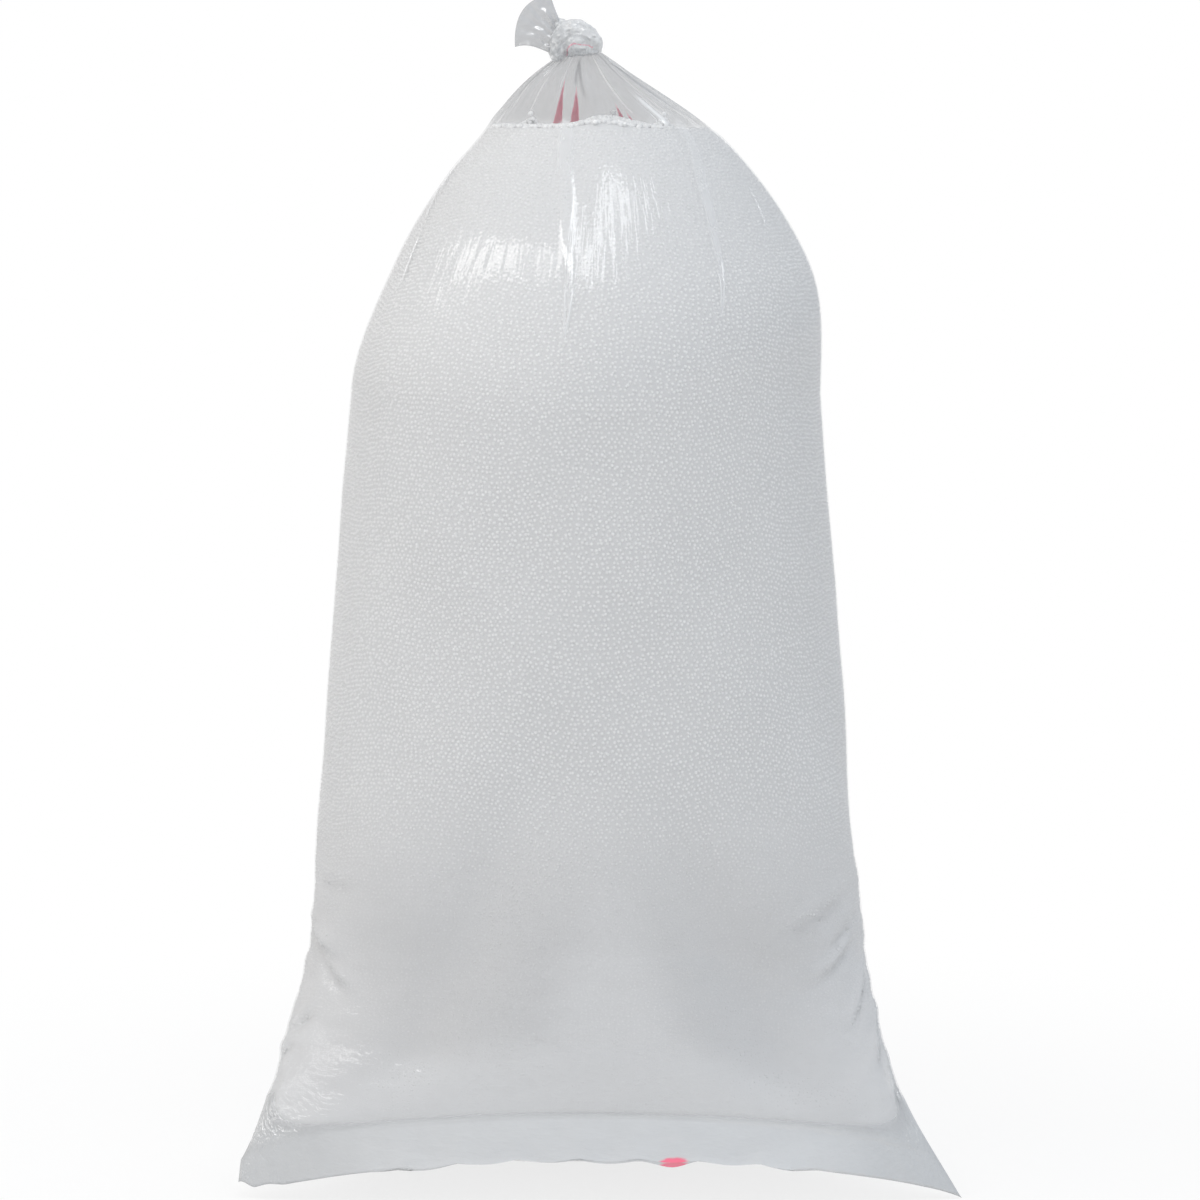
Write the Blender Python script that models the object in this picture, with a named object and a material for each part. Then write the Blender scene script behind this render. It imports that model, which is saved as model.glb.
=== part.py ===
"""Clear film bag filled with polystyrene beads and tied off with an overhand knot.

Metres, +Z up, and the front faces -Y. The origin lies on the floor below the middle of the bag. The bag
stands on the flat that its beads press out. The heat-sealed fin runs along the front of the base, and the two
bottom corners reach the floor as ears. Above the shoulders the film is gathered in pleats into a rope, which
is knotted once and ends in an open, flattened tail.
"""
import math
from collections import namedtuple

import bmesh
import bpy
from mathutils import Vector

# Film tube: its width when it lies flat, and the thickness the solids give it
FILM_FLAT_WIDTH = 0.650
FILM_WALL = 0.0003

# Seal and fin: the seal's middle rises above its ends, and its pucker shortens it at each end
FIN_HEIGHT = 0.033
SEAL_RISE = 0.044
SEAL_PUCKER = 0.022
SEAL_Y = -0.165
SEAL_CENTRE_X = -0.009
SEAL_EDGE = 0.76
EAR_Y = -0.130
EAR_SPREAD = 0.011
FIN_FLARE = 0.010
EAR_FLARE_SHARE = 0.4

# Base of the bag: how its flanks, front, underside and heel curve from the seal to the hip
FLANK_HANDLE = 0.065
EAR_LEAN = math.radians(31)
FRONT_HANDLE = 0.040
UNDERSIDE_REACH = 0.145
UNDERSIDE_DIP = 0.047
UNDERSIDE_FULLNESS = 0.30
HEEL_REACH = 0.028
HEEL_DROP = 0.400
BASE_CENTRING = 3.0

# Body: widest at the hip, and round at the shoulder
HIP_HEIGHT = 0.219
HIP_WIDENING = 0.0398
BODY_HEIGHT = 0.471
BODY_CENTRE_X = -0.013
SHOULDER_SWAY = 0.0145
SWAY_RISE = 0.120
SWAY_FALL = 0.070
ROUND_EDGE = 0.5

# Relief of the filled body: valleys, each with its azimuth from the front at its top and at its foot
VALLEYS = ((-4, -38), (10, 42), (176, 146), (-173, -142))
VALLEY_RUN = 0.240
VALLEY_WIDTH = 0.036
VALLEY_TOP_WIDTH = 0.025
VALLEY_DEPTH = 0.0075

# Shallow swells that cross it: waves round the bag, radians a metre upwards, phase and height
SWELLS = ((4, 14.0, 0.4, 0.0010), (7, -25.0, 2.1, 0.0009), (9, 38.0, 4.0, 0.0007))
SWELL_FADE = 0.150
RELIEF_FADE = 0.060

# Cone of gathered film between the shoulder and the neck
CONE_HEIGHT = 0.286
NECK_RADIUS = 0.0190
NECK_CENTRE_X = -0.0155
SHOULDER_HANDLE = 0.150
NECK_HANDLE = 0.088
NECK_SLOPE = math.radians(62)
GATHER_DEPTH = 0.006
PLEAT_RUN = 0.196
PLEAT_COUNT = 15
PLEAT_SHARE = 0.055
PLEAT_WAVE = (1.0, 0.0, -1.0, 0.0)
PLEAT_VARIATION = 0.25
PLEAT_VARIATION_TURNS = 5

# Rope of twisted film
ROPE_RADIUS = 0.0046
ROPE_CHANNEL_RADIUS = 0.0014
ROPE_FOOT_FLARE = 0.0020
ROPE_FOOT_TAPER = 2.4
ROPE_FOOT_RISE = 0.0020
ROPE_FOOT_X = -0.0165
ROPE_FOOT_Y = 0.0055
LEAD_HANDLE = 0.4

# Knot: its place above the neck and in front of it in rope radii, and its curve in the knot's own units
STRAND_GAP = 0.0004
KNOT_TILT = math.radians(50)
KNOT_TURN = math.radians(-65)
KNOT_RISE = 5.0
KNOT_FORWARD = 4.24
KNOT_SHIFT = -0.0010
KNOT_HOLE = 2.0
KNOT_LIFT = 1.2
KNOT_PARTING = 0.8
KNOT_NEAREST = 1.58

# Tail beyond the knot
TAIL_LENGTH = 0.058
TAIL_FAN = math.radians(33)
TAIL_EDGE_CUT = 0.14
TAIL_FLARE = 1.3
TAIL_HALF_DEPTH = 0.0045
TAIL_WALL = 0.0010
TAIL_FOLDS = 3
TAIL_FOLD_HEIGHT = 0.0022

# Beads: the loose ones lie on the mound at an angle and at a share of the way to its edge
BEAD_DIAMETER = 0.0045
BEAD_CLEARANCE = 0.0003
BEAD_HEADROOM = 0.046
BEAD_MOUND = 0.006
LOOSE_BEADS = ((-0.30, 0.72), (1.25, 0.55), (3.30, 0.66))

# Materials
FILM_COLOUR = (0.80, 0.81, 0.83)
FILM_ROUGHNESS = 0.18
FILM_ALPHA = 0.35
FOAM_COLOUR = (0.90, 0.90, 0.90)
FOAM_ROUGHNESS = 0.75

# Mesh resolution
POINTS_AROUND = len(PLEAT_WAVE) * PLEAT_COUNT
POINTS_ROPE = 12
POINTS_CHANNEL = 6
POINTS_TAIL = 24
BASE_STEPS = (0.04, 0.09, 0.14, 0.21, 0.30, 0.39, 0.48, 0.57, 0.66, 0.75, 0.84, 0.92, 1.0)
BODY_STEPS = 8
CONE_STEPS = 11
WELD_STEPS = 1
KNOT_STEPS = 44
LEAD_STEPS = 6
TAIL_STEPS = 6
MOUND_RINGS = 3
BEAD_SEGMENTS = 12
BEAD_RINGS = 8
HALVINGS = 40
CORNER_LIMIT = 1.4
SHARP_ANGLE = math.radians(50)

# Heights that follow from the ones above
SHOULDER_HEIGHT = HIP_HEIGHT + BODY_HEIGHT
NECK_HEIGHT = SHOULDER_HEIGHT + CONE_HEIGHT
SEAL_HEIGHT = FIN_HEIGHT + SEAL_RISE
PLEAT_START_HEIGHT = NECK_HEIGHT - PLEAT_RUN
BEAD_LEVEL = NECK_HEIGHT - BEAD_HEADROOM

# Widths that follow from the film's fixed circumference
FILM_CIRCUMFERENCE = 2.0 * FILM_FLAT_WIDTH
SHOULDER_RADIUS = FILM_CIRCUMFERENCE / (2.0 * math.pi)
HIP_HALF_WIDTH = SHOULDER_RADIUS + HIP_WIDENING
SEAL_HALF_LENGTH = 0.5 * FILM_FLAT_WIDTH - SEAL_PUCKER

Row = namedtuple("Row", "centre_x half_width side front back front_edge back_edge pleat")


def bezier(corners, share):
    """The point at a share of the way along a cubic Bezier curve."""
    a, b, c, d = (Vector(corner) for corner in corners)
    rest = 1.0 - share
    return a * rest**3 + b * (3 * rest * rest * share) + c * (3 * rest * share * share) + d * share**3


def smooth(share):
    """Ease from 0 to 1 with a level start and end."""
    share = min(max(share, 0.0), 1.0)
    return share * share * (3.0 - 2.0 * share)


def ellipse_girth(a, b):
    """Ramanujan's length of an ellipse with half-axes a and b."""
    return math.pi * (3.0 * (a + b) - math.sqrt((3.0 * a + b) * (a + 3.0 * b)))


def half_depth(half_width):
    """The depth that the film's circumference leaves at a width, and never more than round."""
    low, high = 0.0, half_width
    for _ in range(HALVINGS):
        middle = 0.5 * (low + high)
        if ellipse_girth(half_width, middle) < FILM_CIRCUMFERENCE:
            low = middle
        else:
            high = middle
    return low


def body_centre_x(height):
    """The bag's middle sways to one side at the shoulder and back again at the neck."""
    away = smooth((height - SHOULDER_HEIGHT) / SWAY_RISE)
    back = smooth((NECK_HEIGHT - height) / SWAY_FALL)
    return BODY_CENTRE_X + SHOULDER_SWAY * away * back + (NECK_CENTRE_X - BODY_CENTRE_X) * (1.0 - back)


def upright_row(height, half_width, pleat=0.0):
    """A level ring of the body or of the gathered cone."""
    depth = half_depth(half_width)
    side = Vector((0.0, height))
    front = Vector((-depth, height))
    back = Vector((depth, height))
    return Row(body_centre_x(height), half_width, side, front, back, ROUND_EDGE, ROUND_EDGE, pleat)


def base_row(share):
    """A ring between the seal, where front and back film meet, and the level hip."""
    hip_depth = half_depth(HIP_HALF_WIDTH)
    hip_lean = HIP_WIDENING / BODY_HEIGHT
    ear = (SEAL_HALF_LENGTH, FIN_HEIGHT)
    above_ear = (ear[0] - FLANK_HANDLE * math.sin(EAR_LEAN), ear[1] + FLANK_HANDLE * math.cos(EAR_LEAN))
    below_hip = (HIP_HALF_WIDTH + FLANK_HANDLE * hip_lean, HIP_HEIGHT - FLANK_HANDLE)
    edge = bezier([ear, above_ear, below_hip, (HIP_HALF_WIDTH, HIP_HEIGHT)], share)
    seal = (SEAL_Y, SEAL_HEIGHT)
    front = bezier([seal, (SEAL_Y, SEAL_HEIGHT + FRONT_HANDLE), (-hip_depth, HIP_HEIGHT - FRONT_HANDLE),
                    (-hip_depth, HIP_HEIGHT)], share)
    back = bezier([seal, (SEAL_Y + UNDERSIDE_REACH, SEAL_HEIGHT - UNDERSIDE_DIP),
                   (hip_depth + HEEL_REACH, HIP_HEIGHT - HEEL_DROP), (hip_depth, HIP_HEIGHT)], share)
    centre_x = SEAL_CENTRE_X + (BODY_CENTRE_X - SEAL_CENTRE_X) * smooth(BASE_CENTRING * share)
    side = Vector((EAR_Y * (1.0 - smooth(share)), edge.y))
    front_edge = SEAL_EDGE + (ROUND_EDGE - SEAL_EDGE) * share
    back_edge = front_edge - UNDERSIDE_FULLNESS * math.sin(math.pi * share)
    return Row(centre_x, edge.x, side, front, back, front_edge, back_edge, 0.0)


def fin_row(drop, flare, spread, centre_x):
    """A row of the sealed fin, where front and back film lie against each other."""
    middle = Vector((SEAL_Y - flare, SEAL_HEIGHT - drop))
    wall = Vector((FILM_WALL, 0.0))
    side = Vector((EAR_Y - EAR_FLARE_SHARE * flare, FIN_HEIGHT - drop))
    half_length = SEAL_HALF_LENGTH + spread
    return Row(centre_x, half_length, side, middle - wall, middle + wall, SEAL_EDGE, SEAL_EDGE, 0.0)


def body_rows():
    """Rings between the hip and the shoulder, whose sides lean in evenly."""
    rows = []
    for step in range(1, BODY_STEPS):
        share = step / BODY_STEPS
        rows.append(upright_row(HIP_HEIGHT + BODY_HEIGHT * share, HIP_HALF_WIDTH - HIP_WIDENING * share))
    return rows


def cone_rows():
    """Rings from the shoulder up the gathered cone to the neck, with pleats that deepen on the way."""
    above_shoulder = (SHOULDER_RADIUS, SHOULDER_HEIGHT + SHOULDER_HANDLE)
    below_neck = (NECK_RADIUS + NECK_HANDLE * math.sin(NECK_SLOPE),
                  NECK_HEIGHT - NECK_HANDLE * math.cos(NECK_SLOPE))
    corners = [(SHOULDER_RADIUS, SHOULDER_HEIGHT), above_shoulder, below_neck, (NECK_RADIUS, NECK_HEIGHT)]
    rows = []
    for step in range(CONE_STEPS + 1):
        outline = bezier(corners, step / CONE_STEPS)
        rise = (outline.y - PLEAT_START_HEIGHT) / PLEAT_RUN
        rows.append(upright_row(outline.y, outline.x, PLEAT_SHARE * smooth(rise)))
    return rows


def valley_press(azimuth, height):
    """How deep the valleys are at a place. They widen down to the hip and fade out above the seal."""
    below_top = HIP_HEIGHT + VALLEY_RUN - height
    share = below_top / (HIP_HEIGHT + VALLEY_RUN - SEAL_HEIGHT)
    down = smooth(below_top / VALLEY_RUN)
    width = VALLEY_TOP_WIDTH + (VALLEY_WIDTH - VALLEY_TOP_WIDTH) * down
    press = 0.0
    for top, foot in VALLEYS:
        turn = math.remainder(azimuth - math.radians(top + (foot - top) * share), 2.0 * math.pi)
        press += math.exp(-(SHOULDER_RADIUS * turn / width)**2)
    return VALLEY_DEPTH * press * down * smooth((height - SEAL_HEIGHT) / RELIEF_FADE)


def swell_rise(azimuth, height):
    """How far the swells stand out at a place. They end at the shoulder and above the seal."""
    rise = 0.0
    for waves, climb, phase, size in SWELLS:
        rise += size * math.sin(waves * azimuth + climb * height + phase)
    held = smooth((SHOULDER_HEIGHT - height) / SWELL_FADE)
    return rise * held * smooth((height - SEAL_HEIGHT) / RELIEF_FADE)


def row_loop(row):
    """The points round one row, anticlockwise seen from above and starting at +X."""
    points = []
    for index in range(POINTS_AROUND):
        angle = 2.0 * math.pi * index / POINTS_AROUND
        variation = 1.0 - PLEAT_VARIATION + PLEAT_VARIATION * math.sin(PLEAT_VARIATION_TURNS * angle)
        bulge = 1.0 + row.pleat * PLEAT_WAVE[index % len(PLEAT_WAVE)] * variation
        far, edge = (row.back, row.back_edge) if math.sin(angle) > 0.0 else (row.front, row.front_edge)
        reach = abs(math.sin(angle))**(2.0 * edge) * bulge
        place = row.side + (far - row.side) * reach
        x = row.centre_x + row.half_width * math.cos(angle) * bulge
        azimuth = angle + 0.5 * math.pi
        out = swell_rise(azimuth, place.y) - valley_press(azimuth, place.y)
        y = place.x + out * math.sin(angle)
        points.append(Vector((x + out * math.cos(angle), y, max(place.y, 0.0))))
    return points


def pouch_loops():
    """The outer loops of everything that holds beads, from just above the seal to the neck."""
    rows = [base_row(share) for share in BASE_STEPS] + body_rows() + cone_rows()
    return [row_loop(row) for row in rows]


def fin_loops():
    """The outer loops of the sealed fin, from its free edge up to the seal."""
    edge = fin_row(FIN_HEIGHT, FIN_FLARE, EAR_SPREAD, 0.0)
    seal = fin_row(0.0, 0.0, 0.0, SEAL_CENTRE_X)
    return [row_loop(edge), row_loop(seal)]


def stitch(mesh, lower, upper):
    """Join two loops of vertices, which may have different counts, with faces."""
    if len(lower) == len(upper):
        for index, vertex in enumerate(lower):
            after = (index + 1) % len(lower)
            mesh.faces.new((vertex, lower[after], upper[after], upper[index]))
        return
    low, high = 0, 0
    while low < len(lower) or high < len(upper):
        first = lower[low % len(lower)]
        second = upper[high % len(upper)]
        lower_lags = (low + 0.5) * len(upper) <= (high + 0.5) * len(lower)
        if low < len(lower) and (lower_lags or high == len(upper)):
            low += 1
            mesh.faces.new((first, lower[low % len(lower)], second))
        else:
            high += 1
            mesh.faces.new((first, upper[high % len(upper)], second))


def skin(mesh, loops):
    """Stitch a run of point loops and return their vertices."""
    rings = [[mesh.verts.new(point) for point in loop] for loop in loops]
    for lower, upper in zip(rings, rings[1:]):
        stitch(mesh, lower, upper)
    return rings


def close_flat(mesh, ring):
    """Close a flattened loop by joining its front half to its back half."""
    count = len(ring)
    for index in range(count // 2):
        front = [ring[(count - index) % count], ring[(count - index - 1) % count]]
        corners = [ring[index]] + front + [ring[index + 1]]
        mesh.faces.new(list(dict.fromkeys(corners)))


def inset_point(vertex, distance):
    """A point inside the skin, moved further where the faces round it meet at an angle."""
    return vertex.co - vertex.normal * (distance * min(vertex.calc_shell_factor(), CORNER_LIMIT))


def inset_loops(loops, distance):
    """The same loops moved in by a distance square to the surface."""
    mesh = bmesh.new()
    rings = skin(mesh, loops)
    mesh.normal_update()
    moved = [[inset_point(vertex, distance) for vertex in ring] for ring in rings]
    mesh.free()
    return moved


def knot_scale():
    """The knot's unit: its strands then lie one strand gap apart where they are closest."""
    return (2.0 * ROPE_RADIUS + STRAND_GAP) / KNOT_NEAREST


def knot_axes():
    """The way through the knot, the side that the rope passes on, and the way towards the viewer."""
    along = Vector((-math.sin(KNOT_TILT), 0.0, math.cos(KNOT_TILT)))
    level = Vector((-math.cos(KNOT_TILT), 0.0, -math.sin(KNOT_TILT)))
    side = level * math.cos(KNOT_TURN) + along.cross(level) * math.sin(KNOT_TURN)
    return along, side, along.cross(side)


def knot_centre():
    height = NECK_HEIGHT + KNOT_RISE * ROPE_RADIUS
    return Vector((ROPE_FOOT_X + KNOT_SHIFT, -KNOT_FORWARD * ROPE_RADIUS, height))


def knot_point(turn):
    """A point on the overhand knot: an opened trefoil whose two ends pass side by side."""
    along, side, front = knot_axes()
    spread = KNOT_HOLE + math.cos(3.0 * turn)
    height = KNOT_LIFT * math.sin(3.0 * turn)
    flat = Vector((spread * math.cos(2.0 * turn), spread * math.sin(2.0 * turn), height))
    lean = math.atan2(3.0 * KNOT_LIFT, 2.0 * (KNOT_HOLE + 1.0))
    run = flat.y * math.cos(lean) + flat.z * math.sin(lean)
    lift = flat.z * math.cos(lean) - flat.y * math.sin(lean)
    lift -= KNOT_PARTING * math.copysign(math.cos(turn / 2.0)**4, math.cos(turn / 2.0))
    return knot_centre() + (side * flat.x + along * run + front * lift) * knot_scale()


def rope_path():
    """Points along the rope from just above the neck to the far side of the knot."""
    along = knot_axes()[0]
    start = Vector((ROPE_FOOT_X, ROPE_FOOT_Y, NECK_HEIGHT + ROPE_FOOT_RISE))
    first = knot_point(0.0)
    reach = (first - start).length * LEAD_HANDLE
    corners = [start, start + Vector((0.0, 0.0, reach)), first - along * reach, first]
    lead = [bezier(corners, step / LEAD_STEPS) for step in range(LEAD_STEPS)]
    return lead + [knot_point(2.0 * math.pi * step / KNOT_STEPS) for step in range(KNOT_STEPS + 1)]


def rope_radius(step):
    """The rope narrows from the neck to its tied size over its first points."""
    return ROPE_RADIUS + ROPE_FOOT_FLARE * (1.0 - smooth(ROPE_FOOT_TAPER * step / LEAD_STEPS))


def ring_points(centre, across, up, radius, count):
    """A circle of points about a centre."""
    points = []
    for index in range(count):
        angle = 2.0 * math.pi * index / count
        points.append(centre + (across * math.cos(angle) + up * math.sin(angle)) * radius)
    return points


def rope_loops(inner):
    """Loops round the rope, or round the channel inside it, turned along with its path."""
    path = rope_path()
    across = Vector((1.0, 0.0, 0.0))
    count = POINTS_CHANNEL if inner else POINTS_ROPE
    loops = []
    for step, point in enumerate(path):
        before = path[max(step - 1, 0)]
        after = path[min(step + 1, len(path) - 1)]
        heading = (after - before).normalized() if step else Vector((0.0, 0.0, 1.0))
        across = (across - heading * across.dot(heading)).normalized()
        radius = ROPE_CHANNEL_RADIUS if inner else rope_radius(step)
        loops.append(ring_points(point, across, heading.cross(across), radius, count))
    return loops


def tail_loops(inner):
    """Loops of the flattened tail, which fans out from the knot to its open mouth."""
    along = knot_axes()[0]
    thin = Vector((0.0, 1.0, 0.0))
    across = thin.cross(along)
    start = knot_point(2.0 * math.pi)
    root = ROPE_CHANNEL_RADIUS if inner else ROPE_RADIUS
    mouth = TAIL_HALF_DEPTH - TAIL_WALL if inner else TAIL_HALF_DEPTH
    fan = TAIL_FAN - 2.0 * TAIL_WALL / TAIL_LENGTH if inner else TAIL_FAN
    loops = []
    for step in range(1, TAIL_STEPS + 1):
        share = step / TAIL_STEPS
        depth = root + (mouth - root) * share
        loop = []
        for index in range(POINTS_TAIL):
            angle = 2.0 * math.pi * index / POINTS_TAIL
            offset = math.cos(angle)
            run = TAIL_LENGTH * share * (1.0 - TAIL_EDGE_CUT * offset * offset)
            fold = TAIL_FOLD_HEIGHT * share * math.sin(math.pi * TAIL_FOLDS * offset)
            spread = run * math.sin(fan * offset) * smooth(TAIL_FLARE * share) + root * offset * (1.0 - share)
            point = start + along * (run * math.cos(fan * offset)) + across * spread
            loop.append(point + thin * (depth * math.sin(angle) + fold))
        loops.append(loop)
    return loops


def start_nearest(loop, other):
    """The same loop, started at the point that lies nearest the other loop's first point."""
    centre = sum(loop, Vector()) / len(loop)
    other_centre = sum(other, Vector()) / len(other)
    wanted = (other[0] - other_centre).normalized()
    first = max(range(len(loop)), key=lambda index: (loop[index] - centre).normalized().dot(wanted))
    return loop[first:] + loop[:first]


def tail_after(rope, inner):
    """The tail's loops, each turned so that it follows on from the rope's last loop."""
    loops = []
    other = rope[-1]
    for loop in tail_loops(inner):
        loops.append(start_nearest(loop, other))
        other = loops[-1]
    return loops


def new_object(name, mesh, material):
    """Store a bmesh as a smooth object with one material."""
    bmesh.ops.recalc_face_normals(mesh, faces=mesh.faces)
    bmesh.ops.triangulate(mesh, faces=mesh.faces)
    data = bpy.data.meshes.new(name)
    mesh.to_mesh(data)
    mesh.free()
    data.materials.append(material)
    data.shade_smooth()
    data.set_sharp_from_angle(angle=SHARP_ANGLE)
    thing = bpy.data.objects.new(name, data)
    bpy.context.scene.collection.objects.link(thing)
    return thing


def make_material(name, colour, roughness, alpha=1.0):
    """A Principled material with the part's colour."""
    material = bpy.data.materials.new(name)
    material.use_nodes = True
    shader = material.node_tree.nodes["Principled BSDF"]
    shader.inputs["Base Color"].default_value = (*colour, 1.0)
    shader.inputs["Roughness"].default_value = roughness
    shader.inputs["Metallic"].default_value = 0.0
    shader.inputs["Alpha"].default_value = alpha
    return material


def make_film(material):
    """The bag: pouch, fin, gathered cone, knotted rope and tail in one piece of film."""
    mesh = bmesh.new()
    pouch = pouch_loops()
    rope = rope_loops(False)
    outer = skin(mesh, fin_loops() + pouch + rope + tail_after(rope, False))
    close_flat(mesh, outer[0])
    channel = rope_loops(True)
    gather = [point - Vector((0.0, 0.0, GATHER_DEPTH)) for point in channel[0]]
    lining = inset_loops(pouch, FILM_WALL)[WELD_STEPS:]
    inner = skin(mesh, lining + [gather] + channel + tail_after(channel, True))
    close_flat(mesh, inner[0])
    stitch(mesh, outer[-1], inner[-1])
    return new_object("bag_film", mesh, material)


def fill_loops():
    """The beads' loops: the pouch moved in by the film and a clearance, up to the bead level."""
    loops = inset_loops(pouch_loops(), FILM_WALL + BEAD_CLEARANCE)[WELD_STEPS + 1:]
    held = [loop for loop in loops if max(point.z for point in loop) < BEAD_LEVEL]
    top = []
    for low, high in zip(held[-1], loops[len(held)]):
        share = (BEAD_LEVEL - low.z) / (high.z - low.z)
        top.append(low.lerp(high, share))
    return held + [top]


def mound_rise(share):
    """The height of the beads' mound above their level, at a share of the way to its edge."""
    return BEAD_MOUND * (1.0 - share * share)


def mound_ring(loop, ring):
    """A ring of the mound, where ring 0 is the bead level's own outline."""
    centre = sum(loop, Vector()) / len(loop)
    share = 1.0 - ring / MOUND_RINGS
    return [centre.lerp(point, share) + Vector((0.0, 0.0, mound_rise(share))) for point in loop]


def make_fill(material):
    """The whole mass of beads as one solid."""
    mesh = bmesh.new()
    loops = fill_loops()
    rings = skin(mesh, loops + [mound_ring(loops[-1], ring) for ring in range(1, MOUND_RINGS)])
    close_flat(mesh, rings[0])
    peak = mesh.verts.new(mound_ring(loops[-1], MOUND_RINGS)[0])
    for index, vertex in enumerate(rings[-1]):
        mesh.faces.new((vertex, rings[-1][(index + 1) % len(rings[-1])], peak))
    return new_object("bead_fill", mesh, material)


def make_loose_bead(number, angle, share, material):
    """One bead that lies loose on the mound."""
    loop = fill_loops()[-1]
    centre = sum(loop, Vector()) / len(loop)
    edge = loop[round(angle / (2.0 * math.pi) * len(loop)) % len(loop)]
    radius = 0.5 * BEAD_DIAMETER
    mesh = bmesh.new()
    bmesh.ops.create_uvsphere(mesh, u_segments=BEAD_SEGMENTS, v_segments=BEAD_RINGS, radius=radius)
    bead = new_object("loose_bead_" + str(number), mesh, material)
    bead.location = centre.lerp(edge, share) + Vector((0.0, 0.0, mound_rise(share) + radius + BEAD_CLEARANCE))
    return bead


def main():
    for thing in list(bpy.data.objects):
        bpy.data.objects.remove(thing, do_unlink=True)
    film = make_material("clear_film", FILM_COLOUR, FILM_ROUGHNESS, FILM_ALPHA)
    foam = make_material("expanded_polystyrene", FOAM_COLOUR, FOAM_ROUGHNESS)
    make_film(film)
    make_fill(foam)
    for number, (angle, share) in enumerate(LOOSE_BEADS, start=1):
        make_loose_bead(number, angle, share, foam)


main()
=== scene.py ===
"""Looks of a clear film bag of polystyrene beads: a thin film skin over a layer of separate beads.

The film follows the same rings as the solid model, with folds, pleats and wrinkles added, and the beads lie
just inside it. Lengths are in metres. The front of the bag faces -Y, and azimuths run from the front
towards +X.
"""
import math

import bmesh
import bpy
import numpy as np
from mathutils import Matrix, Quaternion, Vector, noise


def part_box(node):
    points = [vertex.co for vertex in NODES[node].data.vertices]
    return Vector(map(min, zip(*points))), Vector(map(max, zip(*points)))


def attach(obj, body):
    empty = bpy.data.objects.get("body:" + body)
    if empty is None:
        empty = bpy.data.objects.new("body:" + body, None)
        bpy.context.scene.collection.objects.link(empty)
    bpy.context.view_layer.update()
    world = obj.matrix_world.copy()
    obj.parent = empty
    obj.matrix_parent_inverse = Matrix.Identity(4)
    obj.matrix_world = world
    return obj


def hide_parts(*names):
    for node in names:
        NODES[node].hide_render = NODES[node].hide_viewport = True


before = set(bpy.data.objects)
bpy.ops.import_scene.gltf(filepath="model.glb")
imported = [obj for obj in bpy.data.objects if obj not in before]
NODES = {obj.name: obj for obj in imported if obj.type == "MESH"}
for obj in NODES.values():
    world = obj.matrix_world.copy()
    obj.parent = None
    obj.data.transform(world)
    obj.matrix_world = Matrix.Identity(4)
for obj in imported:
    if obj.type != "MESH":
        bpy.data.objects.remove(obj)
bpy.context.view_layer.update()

# Film tube: the shoulder is round, so its radius gives the film's fixed circumference
SHOULDER_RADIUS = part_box("bag_film")[1][1]
FILM_CIRCUMFERENCE = 2.0 * math.pi * SHOULDER_RADIUS
FILM_FLAT_WIDTH = 0.5 * FILM_CIRCUMFERENCE

# Seal and fin
FIN_HEIGHT = 0.033
SEAL_RISE = 0.044
SEAL_PUCKER = 0.022
SEAL_Y = -0.165
SEAL_CENTRE_X = -0.009
SEAL_EDGE = 0.76
EAR_Y = -0.130
EAR_SPREAD = 0.011
FIN_FLARE = 0.010
EAR_FLARE_SHARE = 0.4
SEAL_HEIGHT = FIN_HEIGHT + SEAL_RISE
SEAL_HALF_LENGTH = 0.5 * FILM_FLAT_WIDTH - SEAL_PUCKER
SCALLOP_PITCH = 0.052
SCALLOP_START = -0.019
SCALLOP_DEPTH = 0.0030
SCALLOP_REACH = 0.21
LEFT_TIP_LIFT = 0.004
LEFT_TIP_ROUND = 0.010
FIN_OPENING = 0.0012
FIN_OPEN_SHARE = 0.35

# Base
FLANK_HANDLE = 0.065
EAR_LEAN = math.radians(31)
FRONT_HANDLE = 0.040
UNDERSIDE_REACH = 0.145
UNDERSIDE_DIP = 0.047
UNDERSIDE_FULLNESS = 0.30
HEEL_REACH = 0.028
HEEL_DROP = 0.400
BASE_CENTRING = 3.0
PINCH_DEPTH = 0.15
FOLD_FADE = 0.03
FLOOR_GAP = 0.0004

# Body
HIP_HEIGHT = 0.219
HIP_WIDENING = 0.0398
BODY_HEIGHT = 0.471
BODY_CENTRE_X = -0.013
SHOULDER_SWAY = 0.0145
SWAY_RISE = 0.120
SWAY_FALL = 0.070
ROUND_EDGE = 0.5
HIP_HALF_WIDTH = SHOULDER_RADIUS + HIP_WIDENING
SHOULDER_HEIGHT = HIP_HEIGHT + BODY_HEIGHT

# Relief of the filled body: valleys, each with its azimuth from the front at its top and at its foot
VALLEYS = ((-4, -38), (10, 42), (176, 146), (-173, -142))
VALLEY_RUN = 0.240
VALLEY_WIDTH = 0.036
VALLEY_TOP_WIDTH = 0.025
VALLEY_DEPTH = 0.0075

# Shallow swells that cross it: waves round the bag, radians a metre upwards, phase and height
SWELLS = ((4, 14.0, 0.4, 0.0010), (7, -25.0, 2.1, 0.0009), (9, 38.0, 4.0, 0.0007))
SWELL_FADE = 0.150
RELIEF_FADE = 0.060

# Cone: the film runs on past the solid's neck, to the throat of the knot
CONE_HEIGHT = 0.286
NECK_RADIUS = 0.0190
NECK_CENTRE_X = -0.0155
SHOULDER_HANDLE = 0.150
NECK_HANDLE = 0.088
NECK_SLOPE = math.radians(62)
NECK_HEIGHT = SHOULDER_HEIGHT + CONE_HEIGHT
THROAT_RADIUS = 0.0125
THROAT_HEIGHT = NECK_HEIGHT + 0.016

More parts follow.
